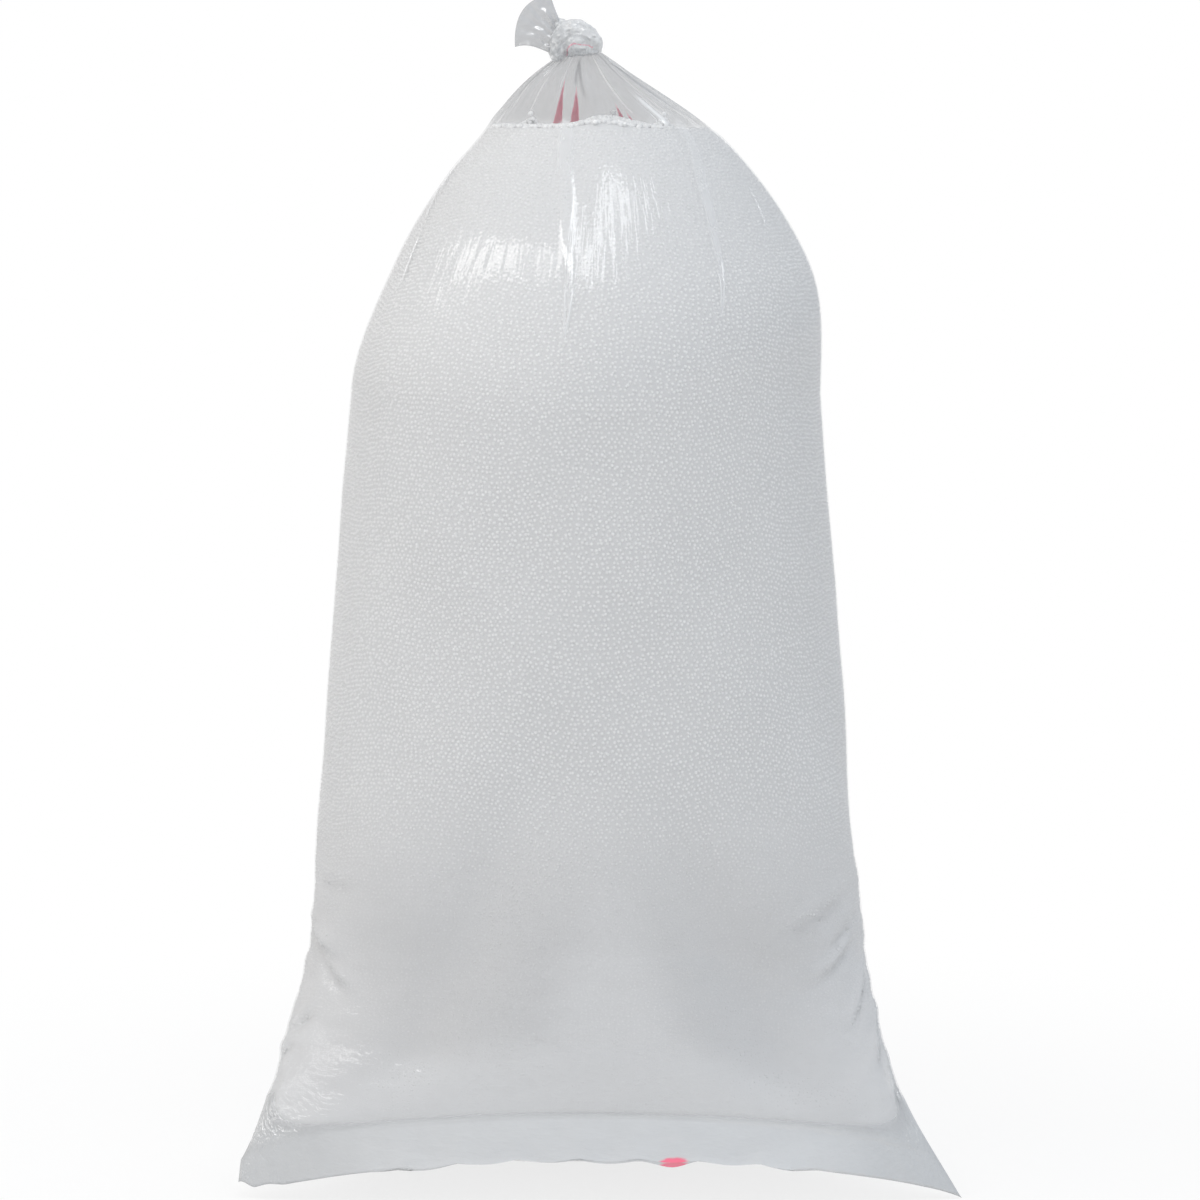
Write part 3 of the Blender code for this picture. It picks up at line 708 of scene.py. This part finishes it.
def bead_surface():
    """The surface of the outermost beads' centres: azimuths, points, normals and the bag's thickness."""
    azimuth = np.linspace(-math.pi, math.pi, BEAD_COLUMNS, endpoint=False)
    cone = cone_rings(CONE_SHARES[1:])
    runs = [base_rings(steps(BEAD_BASE_RINGS, 0.01)), body_rings(steps(120)), cone[:, cone[3] < BEAD_LEVEL]]
    rings = np.concatenate(runs, axis=1)
    plain = lay(rings, azimuth)
    thin = thickness(rings, azimuth)
    shape = soft_shape(plain, azimuth) * ease(thin / FOLD_FADE)
    depth = np.minimum(BEAD_GAP + BEAD_RADIUS, THIN_SHARE * thin)
    normals = normals_of(plain)
    points = plain + normals * (shape - depth)[..., None]
    points[..., 2] = np.maximum(points[..., 2], FLOOR_GAP + depth)
    return azimuth, points, normals, thin


def resample(points, run, targets):
    """Every column of a grid read again at the target distances, and whether it reaches that far."""
    rows = [[np.interp(targets[:, j], run[:, j], points[:, j, k]) for k in range(points.shape[2])]
            for j in range(points.shape[1])]
    reached = (targets >= run[0]) & (targets <= run[-1])
    return np.array(rows).transpose(2, 0, 1), reached


def bead_places(surface):
    """Centres and normals of the beads that lie against the film, in rows round the bag."""
    azimuth, points, normals, thin = surface
    run = meridian_distance(points, BEAD_BASE_RINGS - 1)
    rows = np.arange(math.floor(run.min() / ROW_PITCH), math.ceil(run.max() / ROW_PITCH))
    targets = np.repeat(rows[:, None] * ROW_PITCH, BEAD_COLUMNS, axis=1)
    targets = targets + 3.0 * ROW_PITCH * wavy(on_flat_film(azimuth, targets), 9.0, 2, (1.0, 1.0, 0.4))
    values = np.concatenate([points, normals, thin[..., None]], axis=2)
    grid, reached = resample(values, run, targets)
    reached &= grid[..., 6] > 2.2 * BEAD_RADIUS
    centres = []
    for number, (row, good) in enumerate(zip(grid, reached)):
        closed = np.concatenate([row, row[:1]])
        whole = good & np.roll(good, -1)
        step = np.where(whole, np.linalg.norm(np.diff(closed[:, :3], axis=0), axis=1), 0.0)
        length = np.concatenate([[0.0], np.cumsum(step)])
        count = int(length[-1] / BEAD_PITCH)
        if count < 2:
            continue
        shift = 0.5 * (number % 2) + RANDOM.normal(0.0, 0.12, count)
        places = (np.arange(count) + shift) % count * (length[-1] / count)
        centres.append(np.stack([np.interp(places, length, closed[:, k]) for k in range(6)], axis=1))
    beads = np.concatenate(centres)
    normals = beads[:, 3:] / np.linalg.norm(beads[:, 3:], axis=1, keepdims=True)
    jitter = RANDOM.normal(0.0, 0.14 * BEAD_DIAMETER, (len(beads), 3))
    outward = (jitter * normals).sum(axis=1, keepdims=True)
    return beads[:, :3] + jitter - normals * (outward + 0.3 * np.abs(outward)), normals


def repeated(faces, count, points_each):
    """The faces of one part, repeated for so many parts."""
    return (np.arange(count)[:, None, None] * points_each + faces[None]).reshape(-1, 3)


def bead_domes(centres, normals):
    """The outward half of every bead: a six-sided dome of seven points."""
    radius = BEAD_RADIUS * RANDOM.uniform(0.93, 1.04, (len(centres), 1))
    helper = RANDOM.normal(0.0, 1.0, (len(centres), 3))
    across = np.cross(normals, helper)
    across /= np.linalg.norm(across, axis=1, keepdims=True)
    upward = np.cross(normals, across)
    points = [centres + normals * radius]
    for corner in range(DOME_SIDES):
        turn = corner * 2.0 * math.pi / DOME_SIDES
        points.append(centres + radius * (across * math.cos(turn) + upward * math.sin(turn))
                      - 0.10 * radius * normals)
    points = np.stack(points, axis=1).reshape(-1, 3)
    fan = np.array([[0, 1 + corner, 1 + (corner + 1) % DOME_SIDES] for corner in range(DOME_SIDES)])
    return points, repeated(fan, len(centres), DOME_SIDES + 1)


def softness(height, sideways):
    """How far the beads' painted highlights and painted shade run into one: at the shoulder, on the flanks
    and, above 1, low down.
    """
    upper = ease((height - 0.77) / 0.10)
    lower = 1.2 * ease((0.40 - height) / 0.16) + 0.6 * ease((0.17 - height) / 0.06)
    return np.maximum(np.maximum(upper, lower), 0.5 * ease((np.abs(sideways) - 0.70) / 0.25))


def make_bead_layer(surface, material):
    """The outermost beads, in pieces from the bottom up."""
    centres, normals = bead_places(surface)
    order = np.argsort(centres[:, 2])
    count = math.ceil(len(order) / BEADS_A_PIECE)
    pieces = []
    for number, chosen in enumerate(np.array_split(order, count), 1):
        points, faces = bead_domes(centres[chosen], normals[chosen])
        piece = make_piece(f"bead_layer_{number}", points, faces, material, *FOAM)
        soft = softness(centres[chosen][:, 2:], normals[chosen][:, :1])
        # Painted highlight and painted shade: each dome's top is painted lighter, at random, and its six rim
        # points darker; the top's lightness drops where softness is high
        apex_highlight = RANDOM.uniform(0.75, 1.0, (len(chosen), 1)) * (1.0 - 0.35 * soft)
        store(piece, tone=np.concatenate([apex_highlight] + [0.0 * apex_highlight + GAP_SHADE_TONE] * DOME_SIDES, axis=1))
        pieces.append(piece)
    return pieces


def mound_height(x, y):
    """Top of the beads inside the cone: a low uneven mound."""
    peak = hump(x, 0.002, np.where(x < 0.002, 0.020, 0.028)) * hump(y, -0.02, 0.09)
    places = zip(np.ravel(x) * 22.0, np.ravel(y) * 22.0)
    wave = np.array([noise.noise(Vector((*place, 0.0))) for place in places])
    level = BEAD_LEVEL - 0.6 * BEAD_RADIUS - 0.003 * ease((x - 0.02) / 0.06)
    level = level + 0.0080 * peak + 0.0012 * wave.reshape(np.shape(x))
    for low, high in LOOSE_BEADS:
        middle = 0.5 * (low + high)
        near = hump(np.hypot(x - middle[0], y - middle[1]), 0.0, 0.006)
        level = level + np.maximum(low[2] - BEAD_RADIUS - level, 0.0) * near
    return level


def film_radius_at(level):
    """Half width and centre of the film's plain shape at a height in the cone."""
    cone = cone_rings(CONE_SHARES)
    return np.interp(level, cone[3], cone[1]), np.interp(level, cone[3], cone[0])


def ball_shells(centres, radii):
    """Balls as closed shells: an array of ball, point and coordinate, and the faces."""
    ball = bmesh.new()
    bmesh.ops.create_icosphere(ball, subdivisions=2, radius=1.0)
    unit = np.array([vertex.co[:] for vertex in ball.verts])
    faces = np.array([[vertex.index for vertex in face.verts] for face in ball.faces])
    ball.free()
    points = centres[:, None, :] + unit[None] * radii[:, None, None]
    return points, repeated(faces, len(centres), len(unit))


def make_mound(material):
    """The beads on top of the fill, whole ones, because they show under the clear neck."""
    radius, centre_x = film_radius_at(BEAD_LEVEL)
    reach = radius - BEAD_GAP - 1.1 * BEAD_RADIUS
    lines = np.arange(-reach, reach, ROW_PITCH)
    columns = np.arange(-reach, reach, BEAD_PITCH)
    y, x = np.meshgrid(lines, columns, indexing="ij")
    x = x + 0.5 * BEAD_PITCH * (np.arange(len(lines))[:, None] % 2)
    x = x.ravel() + RANDOM.normal(0.0, 0.0004, x.size)
    y = y.ravel() + RANDOM.normal(0.0, 0.0004, y.size)
    inside = np.hypot(x, y) < reach
    x = x[inside] + centre_x
    y = y[inside]
    z = mound_height(x, y) + RANDOM.uniform(-0.0008, 0.0012, len(x))
    size = BEAD_RADIUS * RANDOM.uniform(0.92, 1.05, len(x))
    points, faces = ball_shells(np.stack([x, y, z], axis=1), size)
    piece = make_piece("bead_mound", points, faces, material, *FOAM)
    # Painted shade in part: the mound's beads are painted darker than the tops of the outer beads, at random
    # within that range
    store(piece, tone=np.repeat(RANDOM.uniform(0.35, 0.7, len(x)), points.shape[1]))
    return piece


def make_core(surface, material):
    """The mass of beads behind the outermost ones, which closes the gaps between them. It is painted near the
    shaded bead colour, as painted shade in the gaps.
    """
    _, points, normals, thin = surface
    lift = BEAD_RADIUS * (0.15 + 0.40 * ease((0.38 - points[..., 2]) / 0.16))
    points = (points + normals * np.minimum(lift, 0.1 * thin)[..., None])[::2, ::2]
    top = points[-1]
    centre = top.mean(axis=0)
    caps = []
    for share in (0.96, 0.85, 0.7, 0.55, 0.4, 0.25, 0.1, 0.01):
        ring = centre + (top - centre) * share
        ring[:, 2] = mound_height(ring[:, 0], ring[:, 1]) - 0.2 * BEAD_RADIUS
        caps.append(ring)
    points = np.concatenate([points, np.array(caps)])
    piece = make_piece("bead_core", points, grid_faces(*points.shape[:2]), material, *FOAM)
    store(piece, tone=np.full(points.shape[:2], GAP_SHADE_TONE))
    return piece


# Knot, in millimetres right of, above and behind its middle. The middle and the voxel size are in metres
KNOT_MIDDLE = Vector((-0.0219, -0.020, 0.9996))
KNOT_ARCH = [(-15, -13, -3), (-14, -2, -9), (-8, 7, -12), (1, 9, -13), (11, 5, -11), (17, -2, -6),
             (17, -6, 2), (9, -4, 9), (-2, -2, 11), (-12, -2, 8), (-17, -8, 2)]
KNOT_ARCH_RADII = [6.5, 8.0, 8.8, 9.0, 8.5, 7.5, 6.5, 6.5, 6.5, 6.5, 6.0]
KNOT_CORE = [(7, -5, 0), (6, -3, -5), (0, -1, -9), (-8, 6, -2), (-14, 12, 3)]
KNOT_CORE_RADII = [9.0, 11.0, 12.0, 9.0, 7.0]
KNOT_COLLAR_MIDDLE = (6.5, -11, 0)
KNOT_COLLAR_HALF = (13.0, 12.0)
KNOT_COLLAR_RADIUS = 2.6
KNOT_VOXEL = 0.0008

# Line of gathered print across the front of the knot: millimetres right and above
KNOT_PRINT = [(-7.0, -14.0), (-6.5, -9.0), (-5.0, -6.0), (-1.0, -3.5), (5.0, -4.5), (10.0, -4.5),
              (15.0, -6.5)]


def along_curve(corners, count, closed):
    """Evenly spread readings of a smooth curve through the corners."""
    corners = np.array(corners, float)
    size = len(corners)
    last = size if closed else size - 1
    places = np.linspace(0.0, last, count, endpoint=not closed)
    first = np.minimum(places.astype(int), last - 1)
    share = (places - first)[:, None]
    pick = (lambda i: corners[i % size]) if closed else (lambda i: corners[np.clip(i, 0, size - 1)])
    a, b, c, d = (pick(first + i) for i in (-1, 0, 1, 2))
    return 0.5 * (2 * b + (c - a) * share + (2 * a - 5 * b + 4 * c - d) * share**2
                  + (3 * b - a - 3 * c + d) * share**3)


def knot_balls():
    """Balls whose union is the knot: centre and radius of each, in millimetres."""
    arch = along_curve(np.column_stack([KNOT_ARCH, KNOT_ARCH_RADII]), 90, True)
    core = along_curve(np.column_stack([KNOT_CORE, KNOT_CORE_RADII]), 24, False)
    turn = np.linspace(0.0, 2.0 * math.pi, 60, endpoint=False)
    x, z, y = KNOT_COLLAR_MIDDLE
    collar = np.column_stack([x + KNOT_COLLAR_HALF[0] * np.cos(turn), z + 1.2 * np.cos(turn + 0.4),
                              y + KNOT_COLLAR_HALF[1] * np.sin(turn), 0.0 * turn + KNOT_COLLAR_RADIUS])
    return np.concatenate([arch, core, collar])


def knot_place(millimetres):
    """Points given right of, above and behind the knot's middle in millimetres, in the frame's metres."""
    right, above, behind = np.moveaxis(np.asarray(millimetres, float), -1, 0)
    return np.stack([right, behind, above], axis=-1) * 0.001 + np.array(KNOT_MIDDLE)


def remeshed(points, faces, voxel):
    """The outer skin round closed shells that cross each other: its points, normals and quads."""
    mesh = bpy.data.meshes.new("union")
    mesh.from_pydata([tuple(point) for point in points], [], [tuple(face) for face in faces])
    thing = add_object("union", mesh)
    modifier = thing.modifiers.new("union", "REMESH")
    modifier.mode = "VOXEL"
    modifier.voxel_size = voxel
    smoother = thing.modifiers.new("soften", "SMOOTH")
    smoother.factor = 0.5
    smoother.iterations = 4
    result = thing.evaluated_get(bpy.context.evaluated_depsgraph_get()).to_mesh()
    new_points = np.array([vertex.co[:] for vertex in result.vertices])
    new_normals = np.array([vertex.normal[:] for vertex in result.vertices])
    quads = np.array([polygon.vertices[:] for polygon in result.polygons if len(polygon.vertices) == 4])
    bpy.data.objects.remove(thing)
    bpy.data.meshes.remove(mesh)
    return new_points, new_normals, quads


def make_knot(material):
    """The tied knot: gathered film that loops over itself, with fine creases that run along its bends."""
    balls = knot_balls()
    points, faces = ball_shells(balls[:, :3], balls[:, 3])
    points, normals, quads = remeshed(knot_place(points).reshape(-1, 3), faces, KNOT_VOXEL)
    offset = (points - np.array(KNOT_MIDDLE)) * 1000.0
    reach = np.hypot(offset[:, 0] - 4.0, offset[:, 2] + 12.0)
    turn = np.arctan2(offset[:, 2] + 12.0, offset[:, 0] - 4.0)
    creases = np.stack([reach / 2.6, turn * 1.7, offset[:, 1] / 9.0], axis=1)[None]
    crumple = np.stack([offset[:, 0], offset[:, 2], offset[:, 1]], axis=1)[None] / 5.0
    shape = 0.0013 * wavy(creases, 1.0, 3)[0] + 0.0006 * wavy(crumple, 1.0, 3)[0]
    points = points + normals * shape[:, None]
    knot = make_piece("film_knot", points, quads, material, *FILM)
    line = along_curve(KNOT_PRINT, 60, False)
    reach = np.hypot(offset[:, :1] - line[:, 0], offset[:, 2:] - line[:, 1]).min(axis=1)
    store(knot, print=reach + 4.0 * (offset[:, 1] > 0.0))
    return knot


# Tail: its lower and upper edges from the knot to the open mouth, in the knot's millimetres
TAIL_LOWER = [(-13, -13), (-27, -12), (-35, -1), (-52, -6)]
TAIL_UPPER = [(-9, 9), (-13, 17), (-18, 27), (-21, 39)]
TAIL_BULGE = (-9.0, 9.0)
TAIL_HALF_DEPTH = 3.4
TAIL_PLEATS = 5


def make_tail(material):
    """The free end of the film: a flattened, softly pleated fan that is open at its mouth."""
    along = np.concatenate([[0.0], steps(70)])
    turn = np.linspace(0.0, 2.0 * math.pi, 220, endpoint=False)[None, :]
    lower = bezier(TAIL_LOWER, along)[:, None, :]
    upper = bezier(TAIL_UPPER, along)[:, None, :]
    share = 0.5 - 0.5 * np.cos(turn)
    flat = lower + (upper - lower) * share[..., None]
    bow = (4.0 * share * (1.0 - share)) * (along[:, None]**2)
    flat = flat + bow[..., None] * np.array(TAIL_BULGE)
    spread = along[:, None]
    wander = wavy(np.stack([share + 0.0 * spread, spread + 0.0 * share, 0.0 * spread * share], axis=2), 3.0)
    pleat = np.sin(2.0 * math.pi * TAIL_PLEATS * (share + 0.06 * wander)) * (1.2 - 0.8 * spread)
    pleat = pleat * ease(4.0 * share * (1.0 - share) * 1.5)
    apart = TAIL_HALF_DEPTH * np.sin(turn) * (1.5 - 0.6 * spread)
    depth = apart + pleat + 1.2 * wander
    points = np.stack([flat[..., 0], flat[..., 1], depth], axis=2)
    return make_piece("film_tail", knot_place(points), grid_faces(*points.shape[:2]), material, *FILM)


class Tree:
    """The nodes of one material or world, added one at a time."""

    def __init__(self, owner):
        owner.use_nodes = True
        self.owner = owner
        self.nodes = owner.node_tree.nodes
        self.links = owner.node_tree.links
        self.nodes.clear()

    def add(self, kind, inputs=None, **settings):
        """Add a node. inputs maps a socket's name or number to a value or to another node's output."""
        node = self.nodes.new("ShaderNode" + kind)
        for name, value in settings.items():
            setattr(node, name, value)
        for name, value in (inputs or {}).items():
            if isinstance(value, bpy.types.NodeSocket):
                self.links.new(value, node.inputs[name])
            else:
                node.inputs[name].default_value = value
        return node

    def sum(self, operation, first, second=0.0, third=0.0, clamp=False):
        """A sum with up to three numbers."""
        values = {0: first, 1: second, 2: third}
        return self.add("Math", values, operation=operation, use_clamp=clamp).outputs[0]

    def product(self, first, *others):
        """The first number times all the others."""
        for other in others:
            first = self.sum("MULTIPLY", first, other)
        return first

    def vector(self, operation, first, second=(0.0, 0.0, 0.0), output=0):
        """A sum with one or two vectors."""
        return self.add("VectorMath", {0: first, 1: second}, operation=operation).outputs[output]

    def attribute(self, name, output="Fac"):
        """A number or vector kept on the mesh."""
        return self.add("Attribute", attribute_name=name).outputs[output]

    def noise(self, vector, waves, detail=2.0, stretch=None):
        """Noise between 0 and 1 at so many waves a metre, drawn out where stretch is under 1."""
        if stretch:
            vector = self.vector("MULTIPLY", vector, stretch)
        return self.add("TexNoise", {"Vector": vector, "Scale": waves, "Detail": detail}).outputs["Fac"]

    def ramp(self, value, low, high):
        """Ease from 0 to 1 while value runs from low to high."""
        inputs = {"Value": value, "From Min": low, "From Max": high}
        return self.add("MapRange", inputs, interpolation_type="SMOOTHSTEP").outputs["Result"]

    def blend(self, share, first, second):
        """Mix of two colours."""
        return self.add("Mix", {0: share, 6: first, 7: second}, data_type="RGBA").outputs[2]

    def bump(self, height):
        """Bump from a height in metres."""
        return self.add("Bump", {"Height": height, "Strength": 1.0, "Distance": 1.0}).outputs["Normal"]

    def finish(self, shader, kind="OutputMaterial"):
        """Set the surface and return the material or world."""
        self.add(kind, {"Surface": shader})
        return self.owner


HAZE_COLOUR = (0.86, 0.88, 0.90, 1.0)
# Colour of the film's grey shade: its own tint, and painted shade where the shade is raised low down, in the
# neck's back, the fin and the ears
DARK_COLOUR = (0.05, 0.055, 0.065, 1.0)
PRINT_COLOUR = (1.0, 0.04, 0.17, 1.0)
WHITE = (1.0, 1.0, 1.0, 1.0)
# Beads' colours: the darker one is painted shade between the beads, the lighter one their white with painted
# highlight on their tops
BEAD_SHADED = (0.63, 0.63, 0.635, 1.0)
BEAD_LIT = (0.94, 0.94, 0.94, 1.0)
FLOOR_COLOUR = (0.87, 0.87, 0.87, 1.0)


def film_surface(tree, veil, shade, soft, gloss, tint=None, coat=1.0):
    """Clear film: partly see-through, with white haze, grey shade, and a gloss that has its own ripples."""
    passed = tree.product(tree.sum("SUBTRACT", 1.0, veil), tree.sum("SUBTRACT", 1.0, shade))
    solid = tree.sum("SUBTRACT", 1.0, passed)
    colour = tree.blend(tree.sum("DIVIDE", veil, solid), DARK_COLOUR, HAZE_COLOUR)
    if tint is not None:
        colour = tree.blend(tint, colour, PRINT_COLOUR)
        solid = tree.sum("MAXIMUM", solid, tree.product(tint, 0.95))
    inputs = {"Base Color": colour, "Roughness": 0.28, "IOR": 1.5, "Normal": tree.bump(soft),
              "Coat Weight": coat, "Coat Roughness": 0.04, "Coat IOR": 2.6, "Coat Normal": tree.bump(gloss)}
    plastic = tree.add("BsdfPrincipled", inputs).outputs[0]
    clear = tree.add("BsdfTransparent", {"Color": WHITE}).outputs[0]
    return tree.finish(tree.add("MixShader", {0: solid, 1: clear, 2: plastic}).outputs[0])


def line_on_film(tree, unrolled, low, high, low_degrees, high_degrees, width):
    """1 along a straight line on the unrolled film, easing to 0 beside it and towards both of its ends."""
    start, end = (Vector((SHOULDER_RADIUS * math.radians(degrees), 0.0, film_length(height)))
                  for degrees, height in ((low_degrees, low), (high_degrees, high)))
    axis = (end - start).normalized()
    length = (end - start).length
    offset = tree.vector("SUBTRACT", unrolled, start)
    along = tree.vector("DOT_PRODUCT", offset, axis, "Value")
    across = tree.vector("DOT_PRODUCT", offset, Vector((axis.z, 0.0, -axis.x)), "Value")
    beside = tree.ramp(tree.sum("ABSOLUTE", across), width, 0.0)
    return tree.product(beside, tree.ramp(along, 0.0, 0.3 * length), tree.ramp(along, length, 0.7 * length))


def film_lines(tree):
    """The haze, shade and raised gloss that the lines on the front of the film add: painted highlight,
    painted shade and real bumps.
    """
    unrolled = tree.attribute("unrolled", "Vector")
    behind = tree.add("SeparateXYZ", {0: unrolled}).outputs[1]
    front = tree.ramp(behind, 0.12, 0.06)
    sums = [0.0, 0.0, 0.0]
    for *line, haze, shade, raised in LINES:
        share = tree.product(line_on_film(tree, unrolled, *line), front)
        for number, amount in enumerate((haze, shade, raised)):
            if amount:
                sums[number] = tree.sum("MULTIPLY_ADD", share, amount, sums[number])
    return sums


def skin_material():
    """Film of the body and cone, with its tucks, its streaky gloss and the print on its back."""
    tree = Tree(bpy.data.materials.new("clear_film_skin"))
    place = tree.attribute("film", "Vector")
    tuck = tree.ramp(tree.attribute("tuck"), 0.0015, -0.0015)
    print_edge = tree.sum("MULTIPLY_ADD", tree.noise(place, 160.0), 0.0012, tree.attribute("print"))
    tint = tree.ramp(print_edge, 0.0008, -0.0004)
    # Painted highlight and painted shade from the lines: white haze along glinting creases, grey along dark
    # pleats
    haze, grey, raised = film_lines(tree)
    shade = tree.sum("ADD", tree.attribute("shade"), grey)
    veil = tree.sum("MULTIPLY_ADD", tuck, 0.14, tree.sum("ADD", haze, tree.attribute("veil")))
    mottle = tree.sum("SUBTRACT", tree.noise(place, 45.0, 3.0), 0.5)
    veil = tree.sum("MULTIPLY_ADD", mottle, 0.06, veil, clamp=True)
    zone = tree.attribute("ripple")
    streak = tree.noise(place, 130.0, 2.0, (1.0, 1.0, 0.11))
    fibre = tree.noise(place, 420.0, 1.0, (1.0, 1.0, 0.07))
    ripple = tree.product(tree.sum("MULTIPLY_ADD", fibre, 0.22, streak), 0.0016, zone)
    fibres = tree.ramp(tree.sum("MULTIPLY_ADD", fibre, 0.5, streak), 0.66, 0.74)
    dull = tree.product(tree.sum("SUBTRACT", 1.0, fibres), zone)
    coat = tree.sum("SUBTRACT", 1.0, dull, clamp=True)
    crumple = tree.noise(place, 110.0, 3.0, (1.0, 1.0, 2.2))
    crumple = tree.product(crumple, 0.0016, tree.attribute("crush"))
    emboss = tree.add("TexVoronoi", {"Vector": place, "Scale": 215.0}).outputs["Distance"]
    soft = tree.sum("MULTIPLY_ADD", emboss, -0.00012, crumple)
    soft = tree.sum("MULTIPLY_ADD", tuck, 0.0002, soft)
    gloss = tree.sum("ADD", tree.sum("ADD", soft, ripple), raised)
    return film_surface(tree, veil, shade, soft, gloss, tint, coat)


def knot_material():
    """Film of the knot, doubled and crumpled into small flat facets, so it is hazier and sparkles."""
    tree = Tree(bpy.data.materials.new("clear_film_gathered"))
    place = tree.add("TexCoord").outputs["Object"]
    veil = tree.sum("MULTIPLY_ADD", tree.noise(place, 160.0), 0.50, 0.26)
    spot = tree.sum("MULTIPLY_ADD", tree.noise(place, 400.0), 3.0, tree.attribute("print"))
    tint = tree.product(tree.ramp(spot, 2.6, 1.4), 0.7)
    cell = tree.add("TexVoronoi", {"Vector": place, "Scale": 400.0}).outputs
    offset = tree.vector("SUBTRACT", place, cell["Position"])
    tilt = tree.vector("SUBTRACT", cell["Color"], (0.5, 0.5, 0.5))
    facet = tree.vector("DOT_PRODUCT", offset, tilt, "Value")
    soft = tree.product(tree.noise(place, 260.0, 3.0), 0.0016)
    gloss = tree.sum("MULTIPLY_ADD", facet, 2.2, soft)
    return film_surface(tree, veil, 0.32, soft, gloss, tint)


def tail_material():
    """Film of the tail: two clear, softly creased layers."""
    tree = Tree(bpy.data.materials.new("clear_film_tail"))
    place = tree.add("TexCoord").outputs["Object"]
    veil = tree.sum("MULTIPLY_ADD", tree.noise(place, 90.0), 0.12, 0.18)
    height = tree.product(tree.noise(place, 80.0, 2.0), 0.0004)
    return film_surface(tree, veil, 0.44, height, height)


def bead_material(name, tone=None):
    """Expanded polystyrene: matt white with fine cells, blended from a shaded to a lit colour. The share is
    one for all or the mesh's own; on the beads it is painted highlight on their tops and painted shade
    between them.
    """
    tree = Tree(bpy.data.materials.new(name))
    tone = tree.ramp(tree.attribute("tone"), 0.05, 1.0) if tone is None else tone
    colour = tree.blend(tone, BEAD_SHADED, BEAD_LIT)
    place = tree.add("TexCoord").outputs["Object"]
    cells = tree.add("TexVoronoi", {"Vector": place, "Scale": 2400.0}).outputs["Distance"]
    inputs = {"Base Color": colour, "Roughness": 0.6, "Specular IOR Level": 0.35,
              "Normal": tree.bump(tree.product(cells, 0.00006))}
    return tree.finish(tree.add("BsdfPrincipled", inputs).outputs[0])


def seen_share(tree, *kinds):
    """1 for what is seen along any of these kinds of ray, else 0."""
    path = tree.add("LightPath").outputs
    seen = path["Is Camera Ray"]
    for kind in kinds:
        seen = tree.sum("MAXIMUM", seen, path[kind])
    return seen


def make_floor():
    """A plain white floor that keeps the bag's shadow."""
    tree = Tree(bpy.data.materials.new("white_floor"))
    matt = tree.add("BsdfDiffuse", {"Color": FLOOR_COLOUR}).outputs[0]
    glow = tree.add("Emission", {"Color": WHITE, "Strength": 1.0}).outputs[0]
    away = tree.vector("LENGTH", tree.add("TexCoord").outputs["Object"], output="Value")
    share = tree.sum("MULTIPLY_ADD", tree.ramp(away, 0.4, 1.1), 0.20, 0.80)
    share = tree.product(seen_share(tree, "Is Glossy Ray", "Is Transmission Ray"), share)
    material = tree.finish(tree.add("MixShader", {0: share, 1: matt, 2: glow}).outputs[0])
    mesh = bpy.data.meshes.new("floor")
    corners = [(x * FLOOR_HALF, y * FLOOR_HALF, 0.0) for x, y in ((-1, -1), (1, -1), (1, 1), (-1, 1))]
    mesh.from_pydata(corners, [], [(0, 1, 2, 3)])
    mesh.materials.append(material)
    floor = add_object("floor", mesh)


def make_world():
    """White to the eye, and a soft light on the bag that is a little warmer from the left."""
    tree = Tree(bpy.data.worlds.new("studio"))
    place = tree.add("TexCoord").outputs["Generated"]
    right = tree.ramp(tree.add("SeparateXYZ", {0: place}).outputs[0], -0.9, 0.9)
    soft = tree.blend(right, WORLD_LEFT, WORLD_RIGHT)
    colour = tree.blend(seen_share(tree, "Is Transmission Ray"), soft, WHITE)
    background = tree.add("Background", {"Color": colour, "Strength": 1.0}).outputs[0]
    bpy.context.scene.world = tree.finish(background, "OutputWorld")


def make_softbox(name, azimuth, elevation, roll, width, height, colour):
    """A large soft lamp that faces the bag, given by its direction as the bag sees it."""
    lamp = bpy.data.lights.new(name, "AREA")
    lamp.shape = "RECTANGLE"
    lamp.size = width
    lamp.size_y = height
    lamp.energy = LAMP_RADIANCE * math.pi * width * height
    lamp.color = colour
    box = add_object(name, lamp)
    azimuth, elevation = math.radians(azimuth), math.radians(elevation)
    direction = Vector((math.sin(azimuth) * math.cos(elevation), -math.cos(azimuth) * math.cos(elevation),
                        math.sin(elevation)))
    box.location = LAMP_AIM + direction * LAMP_DISTANCE
    turn = direction.to_track_quat("Z", "Y") @ Quaternion((0.0, 0.0, 1.0), math.radians(roll))
    box.rotation_euler = turn.to_euler()


def make_camera():
    """The photograph's view: level with the top of the bag, looking slightly down."""
    camera = bpy.data.cameras.new("camera")
    camera.sensor_width = 36.0
    camera.lens = CAMERA_LENS
    thing = add_object("camera", camera)
    thing.location = (0.0, -CAMERA_DISTANCE, CAMERA_HEIGHT)
    thing.rotation_euler = (math.pi / 2.0 - CAMERA_PITCH, 0.0, 0.0)
    bpy.context.scene.camera = thing


def main():
    """Make the bag and its studio."""
    skin = make_film_skin(skin_material())
    knot = make_knot(knot_material())
    tail = make_tail(tail_material())
    foam = bead_material("expanded_polystyrene_beads")
    loose_foam = bead_material("expanded_polystyrene_bead", 0.9)
    surface = bead_surface()
    beads = make_bead_layer(surface, foam)
    mound = make_mound(foam)
    core = make_core(surface, foam)
    for number in (1, 2, 3):
        NODES[f"loose_bead_{number}"].material_slots[0].material = loose_foam
    make_floor()
    make_world()
    for lamp in LAMPS:
        make_softbox(*lamp)
    make_camera()
    bpy.context.scene.view_settings.view_transform = "Standard"


main()
